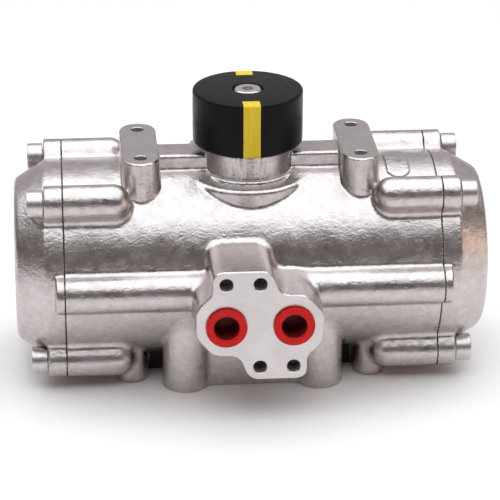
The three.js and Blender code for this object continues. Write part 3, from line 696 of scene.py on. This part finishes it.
def machined_stainless():
    look = Look("machined_stainless", (0.63, 0.585, 0.58), 1.0, 0.30)
    look.vary_colour(look.noise(9, 3), (0.57, 0.525, 0.52))
    look.wear_edges((0.40, 0.36, 0.35))
    look.vary_roughness(look.noise(0.5, 3, stretch=(8, 1, 1)), 0.05)
    look.bump(look.noise(0.35, 2, stretch=(14, 1, 1)), 0.002)
    return look.material


def bright_steel():
    look = Look("bright_steel", (0.66, 0.63, 0.625), 1.0, 0.36)
    look.vary_roughness(look.noise(1.2, 3), 0.06)
    look.vary_colour(look.noise(2, 2), (0.56, 0.52, 0.51))
    look.wear_edges((0.76, 0.73, 0.72))
    look.bump(look.noise(0.8, 2), 0.012)
    return look.material


def joint_compound():
    look = Look("joint_compound", (0.05, 0.045, 0.045), 0.0, 0.6)
    look.vary_colour(look.noise(1.5, 3), (0.02, 0.018, 0.018))
    look.bump(look.noise(0.4, 2), 0.01)
    return look.material


def painted_recess_shade():
    """Painted shade: a near-black finish on the recesses under the cylinder, standing in for the shadow
    that falls there.
    """
    look = Look("painted_recess_shade", (0.055, 0.048, 0.046), 0.6, 0.6)
    look.vary_colour(look.noise(2.5, 3), (0.03, 0.026, 0.025))
    look.bump(look.noise(0.8, 2), 0.05)
    return look.material


def threaded_hole():
    look = Look("threaded_hole", (0.42, 0.385, 0.38), 0.35, 0.5)
    look.vary_colour(look.noise(0.8, 2), (0.30, 0.27, 0.265))
    look.bump(look.noise(0.5, 2), 0.05)
    return look.material


def shaft_steel():
    look = Look("shaft_steel", (0.33, 0.33, 0.335), 1.0, 0.34)
    look.vary_roughness(look.noise(1.5, 3), 0.07)
    look.wear_edges((0.48, 0.48, 0.48))
    look.bump(look.noise(0.25, 2, stretch=(1, 1, 10)), 0.003)
    return look.material


def piston_aluminium():
    look = Look("piston_aluminium", (0.74, 0.75, 0.76), 1.0, 0.33)
    look.vary_roughness(look.noise(2, 3), 0.05)
    look.wear_edges((0.84, 0.84, 0.85))
    look.bump(look.noise(0.3, 2, stretch=(1, 8, 8)), 0.003)
    return look.material


def bearing_polymer():
    look = Look("bearing_polymer", (0.80, 0.77, 0.69), 0.0, 0.45)
    look.vary_colour(look.noise(4, 2), (0.74, 0.71, 0.62))
    look.bump(look.noise(0.6, 2), 0.006)
    return look.material


def seal_rubber():
    look = Look("seal_rubber", (0.018, 0.018, 0.019), 0.0, 0.55)
    look.vary_roughness(look.noise(1.0, 3), 0.1)
    look.bump(look.noise(0.4, 2), 0.008)
    return look.material


def indicator_black():
    look = Look("indicator_black", (0.003, 0.003, 0.0033), 0.0, 0.34)
    look.shader.inputs["Specular IOR Level"].default_value = 0.12
    look.vary_roughness(look.noise(2.5, 3), 0.05)
    look.vary_colour(look.noise(6, 2), (0.005, 0.0048, 0.0055))
    look.wear_edges((0.014, 0.014, 0.015))
    look.bump(look.noise(0.45, 2), 0.006)
    return look.material


def indicator_yellow():
    look = Look("indicator_yellow", (0.80, 0.58, 0.04), 0.0, 0.42)
    look.shader.inputs["Specular IOR Level"].default_value = 0.2
    look.vary_colour(look.noise(0.8, 3, stretch=(1, 1, 14)), (0.68, 0.47, 0.025))
    look.bump(look.noise(0.7, 2, stretch=(1, 1, 20)), 0.02)
    return look.material


# Painted shade: a darker red for the plug's hollow, standing in for the shade inside it.
def plug_inside_shade():
    look = Look("plug_inside_shade", (0.22, 0.008, 0.006), 0.0, 0.5)
    look.vary_colour(look.noise(2, 2), (0.14, 0.006, 0.005))
    return look.material


def plug_red():
    look = Look("plug_red", (0.66, 0.010, 0.009), 0.0, 0.42)
    look.shader.inputs["Specular IOR Level"].default_value = 0.2
    look.vary_colour(look.noise(3, 2), (0.54, 0.008, 0.007))
    look.wear_edges((0.74, 0.03, 0.022))
    look.vary_roughness(look.noise(1.5, 2), 0.06)
    look.bump(look.noise(0.8, 2), 0.01)
    return look.material


# Each slot's finish is made by the function of the same name.
MATERIALS = {make_look.__name__: make_look() for make_look in (
    cast_stainless, bright_steel, shaft_steel, piston_aluminium, bearing_polymer, seal_rubber,
    indicator_black, indicator_yellow, plug_red,
)}
MACHINED = machined_stainless()
JOINT = joint_compound()
THREADED = threaded_hole()
# Near-black painted shade for the recesses under the cylinder.
RECESS_SHADE = painted_recess_shade()

BODY_OF = {node: body for body, nodes in frame["record"]["behaviour"]["bodies"].items() for node in nodes}
SLOT_OF = {part["node"]: part["material_slot"] for part in frame["record"]["subparts"]}


def dress_cad_nodes():
    """Every CAD node gets its slot's finish. The ones replaced below aren't shown."""
    for name, obj in frame["nodes"].items():
        obj.data.materials.clear()
        obj.data.materials.append(MATERIALS[SLOT_OF[name]])


def stand_in(obj, node, extra=()):
    """obj takes the CAD node's place, body and finish."""
    obj.data.materials.clear()
    obj.data.materials.append(MATERIALS[SLOT_OF[node]])
    for material in extra:
        obj.data.materials.append(material)
    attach(obj, BODY_OF[node])
    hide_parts(node)


def face_centres(obj):
    """Centres of every face, in millimetres."""
    centres = np.empty(len(obj.data.polygons) * 3)
    obj.data.polygons.foreach_get("center", centres)
    return centres.reshape(-1, 3) / MM


def mark_faces(obj, *groups):
    """Faces in the first group take the object's second material, and so on. Later groups win."""
    index = np.zeros(len(obj.data.polygons), np.int32)
    for i, group in enumerate(groups):
        index[group] = i + 1
    obj.data.polygons.foreach_set("material_index", index)
    obj.data.update()


# ---- Housing ----

GRID_STEP = 0.5
OVERSIZE = 2.0  # room for the grid beyond the casting
JOINT_EDGE = 0.3
CUT_REACH = 200  # how far a cutter for a plane extends

HOUSING_FORMS = [
    (cylinder_form, 0),
    (rib_form, 1.6),
    (port_block_form, 1.8),
    (flange_form, 1.2),
    (column_form, 1.4),
    (side_post_form, 1.0),
    (base_web_form, 0.8),
    (stop_boss_form, 2.0),
    (boss_form, 0.8),
    (ring_form, 0.3),
    (rail_form, 1.2),
    (neck_form, 0.5),
    (pad_form, 0.8),
    (lug_form, 2.2),
    (label_form, 0.4),
]


def cast_object(name, forms, low, high, closed):
    """Mesh of the joined forms. closed(distance, x, y, z) ends them at the machined planes."""
    grid, origin = sample_forms(forms, low, high, GRID_STEP)
    axes = np.ogrid[tuple(slice(0, n) for n in grid.shape)]
    x, y, z = (origin[i] + axes[i] * GRID_STEP for i in range(3))
    vertices, quads = surface_of(closed(grid, x, y, z), origin, GRID_STEP)

    def distance(x, y, z):
        return closed(combine(forms, x, y, z, kind=float), x, y, z)

    return make_object(name, settle(vertices, distance, GRID_STEP), quads)


def housing_flats():
    """Cutters for the machined planes, in groups that don't touch."""
    far = CUT_REACH
    ends = [
        slab((-HOUSING_END_X - far, -far, -far), (-HOUSING_END_X, far, far)),
        slab((HOUSING_END_X, -far, -far), (HOUSING_END_X + far, far, far)),
    ]
    level = [slab((-far, -far, -far), (far, far, 0))]
    tops = [(-PAD_X, 12, 30, PAD_TOP_Z), (PAD_X, 12, 30, PAD_TOP_Z), (0, 20, 20, NECK_TOP_Z)]
    for middle_x, half_x, half_y, top_z in tops:
        level.append(slab((middle_x - half_x, -half_y, top_z), (middle_x + half_x, half_y, far)))
    front = [
        slab((-far, -far, -far), (far, PORT_FACE_Y, far)),
        slab((-far, STOP_BOSS_Y, -far), (far, far, far)),
    ]
    return [ends, level, front]


def bore_cutter():
    """The cylinder bore, with a lead-in at both ends."""
    end_x, wide_r = HOUSING_END_X, BORE_R + 0.8
    half = [(BORE_R, end_x - 3), (wide_r, end_x - 0.2), (wide_r, end_x + 1), (0, end_x + 1)]
    other_half = [(radius, -along) for radius, along in reversed(half)]
    return turned(other_half + half, "X", (0, 0, AXIS_Z), 144)


def shaft_bores():
    """The pinion's bores, with the centring recess below."""
    low_end, high_end = AXIS_Z - 20, AXIS_Z + 20
    lower = turned([
        (0, -1), (SPIGOT_R + 0.8, -1), (SPIGOT_R, 0.4), (SPIGOT_R, 2.5), (BOTTOM_BORE_R + 0.65, 2.5),
        (BOTTOM_BORE_R, 3.1), (BOTTOM_BORE_R, low_end), (0, low_end),
    ], sides=96)
    upper = turned([
        (0, high_end), (TOP_BORE_R, high_end), (TOP_BORE_R, NECK_TOP_Z - 0.5),
        (TOP_BORE_R + 1.5, NECK_TOP_Z + 1), (0, NECK_TOP_Z + 1),
    ], sides=96)
    return [lower, upper]


def thread_cutters():
    """All threaded holes of the housing, and the bores of the stop screws."""
    cutters = []
    for x in SIDES:
        for y in SIDES:
            cutters.append(hole(M8_R, 0, M8_DEPTH, "Z", (x * OUTER_HOLE, y * OUTER_HOLE, 0), 0.7))
            cutters.append(hole(M6_R, 0, M6_DEPTH, "Z", (x * INNER_HOLE, y * INNER_HOLE, 0), 0.5))
            pad_hole = (x * PAD_X, y * PAD_HOLE_Y, 0)
            cutters.append(hole(M5_R, PAD_TOP_Z, PAD_TOP_Z - M5_DEPTH, "Z", pad_hole, 0.2))
            for z in SIDES:
                centre = (0, y * BOLT_Y, AXIS_Z + z * BOLT_Z)
                cutters.append(hole(CAP_THREAD_R, x * HOUSING_END_X, x * CAP_HOLE_X, "X", centre, 0.5, 24))
        for hole_x in (0, x * PORT_X):
            centre = (hole_x, 0, PORT_Z - x * PORT_HOLE_Z)
            cutters.append(hole(M5_R, PORT_FACE_Y, PORT_FACE_Y + M5_DEPTH, "Y", centre, 0.2))
        cutters.append(hole(STOP_BORE_R, STOP_BOSS_Y, STOP_BORE_END_Y, "Y", (x * STOP_X, 0, STOP_Z), 0.6))
    return cutters


def air_cutters():
    """Port bores first, then the ways that lead on from them."""
    port_end = PORT_FACE_Y + PORT_DEPTH
    ports = [hole(PORT_BORE_R, PORT_FACE_Y, port_end, "Y", (x * PORT_X, 0, PORT_Z), 0.5, 48) for x in SIDES]
    left_r, right_r, channel_r = 2.4, 2.8, 2
    start_y, left_end_y = port_end - 2, -28
    offset_z = 2.6
    ways = [
        turned(rod_profile(left_r, start_y, left_end_y), "Y", (-PORT_X, 0, PORT_Z - offset_z), 20),
        turned(rod_profile(right_r, start_y, CHANNEL_Y), "Y", (PORT_X, 0, PORT_Z + offset_z), 20),
    ]
    reach = HOUSING_END_X + 1
    channel = [turned(rod_profile(channel_r, -reach, reach), "X", (0, CHANNEL_Y, AXIS_Z), 20)]
    return [ports, ways, channel]


def housing_machined_faces(obj):
    """Which faces lie on machined planes, bores or holes."""
    x, y, z = face_centres(obj).T
    near = 0.02
    found = (np.abs(z) < near) | (np.abs(z - PAD_TOP_Z) < near) | (np.abs(y - PORT_FACE_Y) < near)
    found |= (np.abs(np.abs(x) - HOUSING_END_X) < near) | (np.abs(y - STOP_BOSS_Y) < near)
    found |= (np.abs(z - NECK_TOP_Z) < near) & (hypot(x, y) < NECK_R)
    found |= hypot(y, z - AXIS_Z) < BORE_R + 0.05
    found |= (hypot(x, y) < SPIGOT_R + 0.9) & (z < AXIS_Z)
    found |= (hypot(x, y) < TOP_BORE_R + 1.4) & (z > AXIS_Z)
    for px in SIDES:
        found |= (hypot(x - px * PORT_X, z - PORT_Z) < PORT_BORE_R + 0.6) & (y < CHANNEL_Y - 1.5)
    return found


def housing_hole_faces(obj):
    """Which faces lie inside the threaded holes. The limits along each hole leave its mouth out."""
    x, y, z = face_centres(obj).T
    found = np.zeros(len(x), bool)
    in_face = (y > PORT_FACE_Y + 0.2) & (y < PORT_FACE_Y + 8.6)
    in_pad = (z > 70) & (z < PAD_TOP_Z - 0.1)
    in_flange = (z > 0.1) & (z < 20)
    for px in SIDES:
        for hole_x in (0, px * PORT_X):
            found |= (hypot(x - hole_x, z - PORT_Z + px * PORT_HOLE_Z) < M5_R + 0.05) & in_face
        for py in SIDES:
            found |= (hypot(x - px * PAD_X, y - py * PAD_HOLE_Y) < M5_R + 0.05) & in_pad
            found |= (hypot(x - px * OUTER_HOLE, y - py * OUTER_HOLE) < M8_R + 0.1) & in_flange
            found |= (hypot(x - px * INNER_HOLE, y - py * INNER_HOLE) < M6_R + 0.1) & in_flange
    return found


def build_housing():
    low = (-HOUSING_END_X - OVERSIZE, PORT_FACE_Y - OVERSIZE, -OVERSIZE)
    high = (HOUSING_END_X + OVERSIZE, STOP_BOSS_Y + OVERSIZE, PAD_TOP_Z + OVERSIZE)

    def closed(distance, x, y, z):
        """Ends the form a little outside the machined planes, and breaks its edge at the joints."""
        distance = distance + above(np.abs(x) - HOUSING_END_X + JOINT_EDGE)
        ends = [np.abs(x) - HOUSING_END_X, PORT_FACE_Y - y, y - STOP_BOSS_Y, -z, z - PAD_TOP_Z]
        for end in ends:
            distance = np.maximum(distance, end - 1)
        return distance

    obj = cast_object("housing_casting", HOUSING_FORMS, low, high, closed)
    thin_out(obj, keep=0.34)
    bores = [[bore_cutter()], shaft_bores(), thread_cutters(), *air_cutters()]
    for cutters in [*housing_flats(), *bores]:
        combine_with(obj, cutters)
    stand_in(shade(obj), "housing", [MACHINED, JOINT, THREADED, RECESS_SHADE])
    x, y, z = face_centres(obj).T
    joint = np.abs(x) > HOUSING_END_X - JOINT_EDGE + 0.05
    # Painted shade: faces in the recesses beside the flange, under the cylinder and on the web, take the
    # near-black finish in place of the shadow there.
    recess = (np.abs(x) > FLANGE_HALF + 0.6) & (np.abs(x) < POST_X) & (np.abs(y) < SHADE_HALF_Y)
    recess &= (hypot(y, z - AXIS_Z) < BODY_R + 0.1) | (np.abs(y) < WEB_HALF_Y + 0.1)
    recess &= (z < SHADE_TOP_Z) & (z > 0.05)
    mark_faces(obj, housing_machined_faces(obj), joint, housing_hole_faces(obj), recess)


# ---- End caps ----


def cap_shell_form(x, y, z):
    """Bolted rim, then a cone with rounded edges to the flat end."""
    radius = hypot(y, z - AXIS_Z)
    slope = (BODY_R - CAP_END_R - 0.6) / (END_X - CAP_RIM_X)
    cone = (radius - BODY_R + 0.1 + slope * (x - CAP_RIM_X)) / math.hypot(1, slope)
    side = round_meet(cone, radius - BODY_R, 0.4)
    return round_meet(side, x - END_X, 1.6) + 0.4 * waviness(x * 1.1, y, z)


def cap_lug_form(x, y, z):
    along, across = corner_frame(y, z)
    side = hypot(across, above(along - BOLT_DISTANCE)) - LUG_R
    return np.maximum(round_meet(side, x - CAP_RIM_X, 0.7), LUG_ROOT - along)


def cap_stub_form(x, y, z):
    return round_meet(hypot(y - RIB_Y, z - AXIS_Z) - RIB_R, x - STUB_END_X, 1.0)


CAP_FORMS = [(cap_shell_form, 0), (cap_lug_form, 1.6), (cap_stub_form, 1.2)]


def cap_cutters():
    """Machined features of the right-hand cap, in groups that don't touch."""
    far = CUT_REACH
    ends = [slab((-far, -far, -far), (CAP_FACE_X, far, far)), slab((END_X, -far, -far), (far, far, far))]
    hollow = [turned([
        (0, CAP_FACE_X - 1), (CAP_HOLLOW_R, CAP_FACE_X - 1), (CAP_HOLLOW_R, CAP_HOLLOW_X - 2),
        (CAP_HOLLOW_R - 2, CAP_HOLLOW_X), (0, CAP_HOLLOW_X),
    ], "X", (0, 0, AXIS_Z), 128)]
    inner_r, outer_r = 31.6, 33.4
    open_x = CAP_FACE_X - 1
    floor_x = CAP_FACE_X + 1.5
    groove = [turned([
        (inner_r, open_x), (outer_r, open_x), (outer_r, floor_x), (inner_r, floor_x),
    ], "X", (0, 0, AXIS_Z), 128)]
    start_x, end_x = 50, 95
    shank_r, head_r = 3.3, 5.8
    profile = [
        (0, start_x), (shank_r, start_x), (shank_r, CAP_RIM_X), (head_r - 0.3, CAP_RIM_X),
        (head_r, CAP_RIM_X + 0.3), (head_r, end_x), (0, end_x),
    ]
    bolts = [turned(profile, "X", (0, y * BOLT_Y, AXIS_Z + z * BOLT_Z), 40) for y in SIDES for z in SIDES]
    return [ends, hollow, groove, bolts]


def build_caps():
    reach = 48
    low = (CAP_FACE_X - OVERSIZE, -reach, AXIS_Z - reach)
    high = (END_X + OVERSIZE, reach, AXIS_Z + reach)

    def closed(distance, x, y, z):
        """Ends the form a little outside the machined planes, and breaks its edge at the joint."""
        distance = distance + above(CAP_FACE_X + JOINT_EDGE - x)
        return np.maximum(distance, np.maximum(CAP_FACE_X - 1 - x, x - END_X - 1))

    right = cast_object("right_cap_casting", CAP_FORMS, low, high, closed)
    thin_out(right, keep=0.4)
    for cutters in cap_cutters():
        combine_with(right, cutters)
    shade(right)
    left = add_object("left_cap_casting", right.data.copy())
    left.data.transform(Matrix.Diagonal((-1, 1, 1, 1)))
    left.data.flip_normals()
    for obj, side in ((right, "right"), (left, "left")):
        stand_in(obj, f"end_cap_{side}", [MACHINED, JOINT])
        x, y, z = face_centres(obj).T
        x = np.abs(x)
        in_hollow = (hypot(y, z - AXIS_Z) < CAP_HOLLOW_R + 0.1) & (x < CAP_HOLLOW_X + 0.1)
        machined = in_hollow | (np.abs(x - CAP_RIM_X) < 0.02)
        mark_faces(obj, machined, x < CAP_FACE_X + JOINT_EDGE - 0.05)


# ---- Fasteners ----


def build_cap_screws():
    for side, sign in (("left", -1), ("right", 1)):
        for height, up in (("upper", 1), ("lower", -1)):
            for depth, back in (("front", -1), ("back", 1)):
                centre = (0, back * BOLT_Y, AXIS_Z + up * BOLT_Z)
                build_cap_screw(f"cap_screw_{side}_{height}_{depth}", centre, sign)


def build_cap_screw(node, centre, sign):
    """Socket-head screw: chamfered head, hexagonal socket and plain shank."""
    head, tip, seat = SCREW_HIGH[0], SCREW_LOW[0], CAP_RIM_X + 0.3
    head_r, shank_r, socket_half = 5, 2.7, 2.5
    profile = [
        (0, head), (socket_half + 0.7, head), (head_r - 0.55, head), (head_r - 0.2, head - 0.12),
        (head_r, head - 0.5), (head_r, seat + 0.25), (head_r - 0.2, seat), (shank_r, seat),
        (shank_r, tip + 0.6), (shank_r - 0.6, tip), (0, tip),
    ]
    obj = make_object(node + "_piece", *turned([(r, sign * a) for r, a in profile], "X", centre, 48))
    socket_ends = sorted((sign * (head - 3), sign * (head + 1)))
    combine_with(obj, [prism(hexagon(socket_half, math.pi / 6), *socket_ends, "X", centre)])
    outer = sign * (head + 0.2)
    inner = sign * (head - 0.4)
    mouth = [(0, outer), (socket_half + 0.65, outer), (socket_half, inner), (0, inner)]
    combine_with(obj, [turned(mouth, "X", centre, 36)])
    stand_in(shade(obj, 28), node)


def build_stops():
    for name, sign in (("closed", -1), ("open", 1)):
        centre = (sign * STOP_X, 0, STOP_Z)
        build_threaded_rod(f"stop_screw_{name}", centre, STOP_LOW[1], STOP_HIGH[1], STOP_SCREW_R,
                           pitch=1.25, depth=0.6)
        build_lock_nut(f"stop_nut_{name}", centre)
        build_stop_seal(f"stop_seal_{name}", centre)


def build_lock_nut(node, centre):
    """Hexagonal nut with its corners turned off and its bore countersunk."""
    near, far = NUT_LOW[1], NUT_HIGH[1]
    half_width, corner_r, face_r = 6.5, 7.6, 6.6
    nut = make_object(node + "_piece", *prism(hexagon(half_width), near, far, "Y", centre))
    combine_with(nut, [turned([
        (0, near - 0.01), (face_r, near - 0.01), (corner_r, near + 0.6),
        (corner_r, far - 0.6), (face_r, far + 0.01), (0, far + 0.01),
    ], "Y", centre, 64)], "INTERSECT")
    combine_with(nut, [turned([
        (0, near - 1), (STOP_BORE_R + 1.3, near - 1), (STOP_BORE_R, near + 0.4),
        (STOP_BORE_R, far - 0.4), (STOP_BORE_R + 1.3, far + 1), (0, far + 1),
    ], "Y", centre, 40)])
    stand_in(shade(nut, 28), node)


def build_stop_seal(node, centre):
    low, high = (corner[1] for corner in cad_mm(node))
    inner_r, outer_r = STOP_SCREW_R + 0.4, 6.8
    ring = turned([
        (inner_r, low), (outer_r - 0.4, low), (outer_r, low + 0.4), (outer_r, high - 0.4),
        (outer_r - 0.4, high), (inner_r, high),
    ], "Y", centre, 48)
    stand_in(shade(make_object(node + "_piece", *ring)), node)


def build_threaded_rod(node, centre, start, end, radius, pitch, depth):
    """A set screw along Y with a helical thread and a hexagonal socket at its far end."""
    sides, rows_per_turn = 40, 10
    rows = int((end - start) / pitch * rows_per_turn)
    points = []
    for row in range(rows + 1):
        along = start + (end - start) * row / rows
        taper = max(0.0, 0.7 - min(along - start, end - along))
        for i in range(sides):
            phase = (along / pitch - i / sides) % 1
            angle = 2 * math.pi * i / sides
            r = radius - depth * (1 - abs(2 * phase - 1)) - taper
            points.append((r * math.cos(angle), r * math.sin(angle), along))
    faces = [list(range(sides))[::-1], list(range(rows * sides, (rows + 1) * sides))]
    for row in range(rows):
        for i in range(sides):
            j = (i + 1) % sides
            a, b = row * sides, (row + 1) * sides
            faces.append([a + i, a + j, b + j, b + i])
    obj = make_object(node + "_piece", *outward(aim(points, "Y", centre), faces))
    combine_with(obj, [prism(hexagon(2), end - 5, end + 1, "Y", centre)])
    stand_in(shade(obj, 40), node)


# ---- Indicator ----


def arc(centre_r, centre_a, radius, start, end, steps=6):
    """Points of a profile's round edge, angles in degrees."""
    angles = [math.radians(start + (end - start) * i / steps) for i in range(steps + 1)]
    return [(centre_r + radius * math.cos(a), centre_a + radius * math.sin(a)) for a in angles]


def drum_profile():
    bottom, top = DRUM_LOW[2], DRUM_HIGH[2]
    lower, upper = 1.9, 0.9
    return [
        (0, bottom),
        *arc(DRUM_R - lower, bottom + lower, lower, -90, 0, 8),
        *arc(DRUM_R - upper, top - upper, upper, 0, 90, 6),
        (0, top),
    ]


def marker_solid(clearance, sign):
    """L-shaped strip down the drum's side, with a lip over its top edge. sign is 1 at the front."""
    half = MARKER_HALF_W + clearance
    deep = MARKER_DEPTH + clearance
    lip = MARKER_LIP + clearance
    bottom, top = DRUM_LOW[2] - 1, DRUM_HIGH[2] + 1
    step = DRUM_HIGH[2] - deep
    outline = [
        (-DRUM_R - 1, bottom), (-DRUM_R + deep, bottom), (-DRUM_R + deep, step), (-DRUM_R + lip, step),
        (-DRUM_R + lip, top), (-DRUM_R - 1, top),
    ]
    return prism([(sign * y, z) for y, z in outline], -half, half, "X")


def build_indicator():
    bottom, top = DRUM_LOW[2], DRUM_HIGH[2]
    drum = make_object("indicator_drum", *turned(drum_profile(), sides=160))
    combine_with(drum, [marker_solid(0.15, 1), marker_solid(0.15, -1)])
    combine_with(drum, [turned(rod_profile(DRUM_HOLLOW_R, bottom - 1, DRUM_HOLLOW_TOP_Z), sides=96)])
    shaft = flatted_outline(radius=7.8, half_width=5.8)
    combine_with(drum, [prism(shaft, DRUM_HOLLOW_TOP_Z - 0.3, top - 4.5)])
    shank_r, head_r = 3.3, 5.6
    combine_with(drum, [turned([
        (0, top - 5), (shank_r, top - 5), (shank_r, top - 2.5), (head_r, top - 2.5),
        (head_r, top - 0.4), (head_r + 1, top + 0.6), (0, top + 0.6),
    ], sides=64)])
    stand_in(shade(drum, 30), "indicator_cap")
    for name, sign in (("front", 1), ("back", -1)):
        insert = make_object(f"indicator_insert_{name}_piece", *marker_solid(0, sign))
        combine_with(insert, [turned(drum_profile(), sides=160)], "INTERSECT")
        stand_in(shade(insert, 30), f"indicator_insert_{name}")
    tip, head_low, head_high = 91, top - 2.2, top - 0.1
    shank_r, head_r = 2.7, 5
    screw = make_object("indicator_screw_piece", *turned([
        (0, tip), (shank_r - 0.5, tip), (shank_r, tip + 0.6), (shank_r, head_low), (head_r, head_low),
        (head_r, head_high - 0.5), (head_r - 0.5, head_high), (0, head_high),
    ], sides=48))
    combine_with(screw, [prism(hexagon(2), head_high - 1.5, head_high + 1)])
    stand_in(shade(screw, 28), "indicator_screw")


def flatted_outline(radius, half_width, steps=24):
    """Circle cut by two flats across X."""
    reach = math.acos(half_width / radius)
    points = []
    for sign in (0, math.pi):
        for i in range(steps + 1):
            angle = sign + reach + (math.pi - 2 * reach) * i / steps
            points.append((radius * math.cos(angle), radius * math.sin(angle)))
    return points


# ---- Port plugs ----


def build_plugs():
    face, end = PLUG_LOW[1], PLUG_HIGH[1]
    seat = PORT_FACE_Y - 0.3
    flange_r, plug_r, hollow_r = 7.4, 6.1, 4.5
    # Darker red for the plug's hollow: painted shade inside it.
    inside = plug_inside_shade()
    for side, sign in (("left", -1), ("right", 1)):
        profile = [
            (0, end), *arc(plug_r - 1, end - 1, 1, 90, 0, 4), (plug_r, seat), (flange_r - 0.3, seat),
            *arc(flange_r - 0.55, face + 0.55, 0.55, 0, -90, 5),
            *arc(hollow_r + 0.6, face + 0.6, 0.6, -90, -180, 5),
            (hollow_r, end - 2), (hollow_r - 0.8, end - 1.2), (0, end - 1.2),
        ]
        obj = make_object(f"port_plug_{side}_piece", *turned(profile, "Y", (sign * PORT_X, 0, PORT_Z), 96))
        stand_in(shade(obj, 30), f"port_plug_{side}", [inside])
        x, y, z = face_centres(obj).T
        in_hollow = hypot(x - sign * PORT_X, z - PORT_Z) < hollow_r + 0.15
        # Faces deep in the hollow take the darker red, painted shade inside the plug.
        mark_faces(obj, in_hollow & (y > face + 0.8) & (y < end - 0.5))


# ---- Studio ----

CAMERA_AZIMUTH = math.radians(-4.675)
CAMERA_ELEVATION = math.radians(22.86)
CAMERA_DISTANCE = 0.896
CAMERA_TARGET = Vector((0, 0, 0.045))
CAMERA_ROLL = math.radians(0.18)
ROOM_FRONT = (0.122, 0.104, 0.094, 1)
ROOM_BACK = (0.50, 0.475, 0.48, 1)


def build_camera():
    back = Vector((
        math.sin(CAMERA_AZIMUTH) * math.cos(CAMERA_ELEVATION),
        -math.cos(CAMERA_AZIMUTH) * math.cos(CAMERA_ELEVATION),
        math.sin(CAMERA_ELEVATION),
    ))
    data = bpy.data.cameras.new("camera")
    data.sensor_width = 36
    data.lens = 172.3
    data.shift_x = 0.0055
    data.shift_y = -0.0142
    data.clip_start = 0.01
    data.clip_end = 50
    camera = add_object("camera", data)
    turn = back.to_track_quat("Z", "Y").to_matrix().to_4x4() @ Matrix.Rotation(CAMERA_ROLL, 4, "Z")
    camera.matrix_world = Matrix.Translation(CAMERA_TARGET + back * CAMERA_DISTANCE) @ turn
    bpy.context.scene.camera = camera


def area_light(name, place, target, size, power, colour):
    data = bpy.data.lights.new(name, "AREA")
    data.shape = "RECTANGLE"
    data.size, data.size_y = size
    data.energy = power
    data.color = colour
    light = add_object(name, data)
    light.location = place
    light.rotation_euler = (Vector(place) - Vector(target)).to_track_quat("Z", "Y").to_euler()


def build_floor():
    size = 6
    mesh = bpy.data.meshes.new("floor")
    corners = [(-size, -size, 0), (size, -size, 0), (size, size, 0), (-size, size, 0)]
    mesh.from_pydata(corners, [], [(0, 1, 2, 3)])
    floor = add_object("floor", mesh)
    floor.location.z = -0.0002  # just under the flange
    look = Look("floor_paper", (0.97, 0.925, 0.925), 0.0, 0.7)
    floor.data.materials.append(look.material)


def build_world():
    """A dim room: dark in front, where the camera is, and grey behind."""
    world = bpy.data.worlds.new("room")
    world.use_nodes = True
    nodes, links = world.node_tree.nodes, world.node_tree.links
    background = nodes["Background"]
    place = nodes.new("ShaderNodeTexCoord").outputs["Generated"]
    split = nodes.new("ShaderNodeSeparateXYZ")
    links.new(place, split.inputs["Vector"])
    depth = nodes.new("ShaderNodeMapRange")
    set_range(depth, 0.05, 0.75, 0, 1)
    links.new(split.outputs["Y"], depth.inputs["Value"])
    mix = nodes.new("ShaderNodeMix")
    mix.data_type = "RGBA"
    mix.inputs["A"].default_value = ROOM_FRONT
    mix.inputs["B"].default_value = ROOM_BACK
    links.new(depth.outputs["Result"], mix.inputs["Factor"])
    links.new(mix.outputs["Result"], background.inputs["Color"])
    background.inputs["Strength"].default_value = 1.0
    bpy.context.scene.world = world


def build_studio():
    build_camera()
    build_floor()
    build_world()
    area_light("overhead", place=(0, -0.07, 1.0), target=(0, -0.07, 0.04), size=(2.2, 1.7),
               power=23.5, colour=(0.925, 1.0, 1.03))
    area_light("side", place=(1.3, -0.35, 0.25), target=(0, 0, 0.04), size=(0.5, 0.5),
               power=1.2, colour=(1.0, 0.76, 0.60))
    bpy.context.scene.view_settings.view_transform = "Standard"


# ---- Build ----

build_studio()
dress_cad_nodes()
build_housing()
build_caps()
build_cap_screws()
build_stops()
build_indicator()
build_plugs()
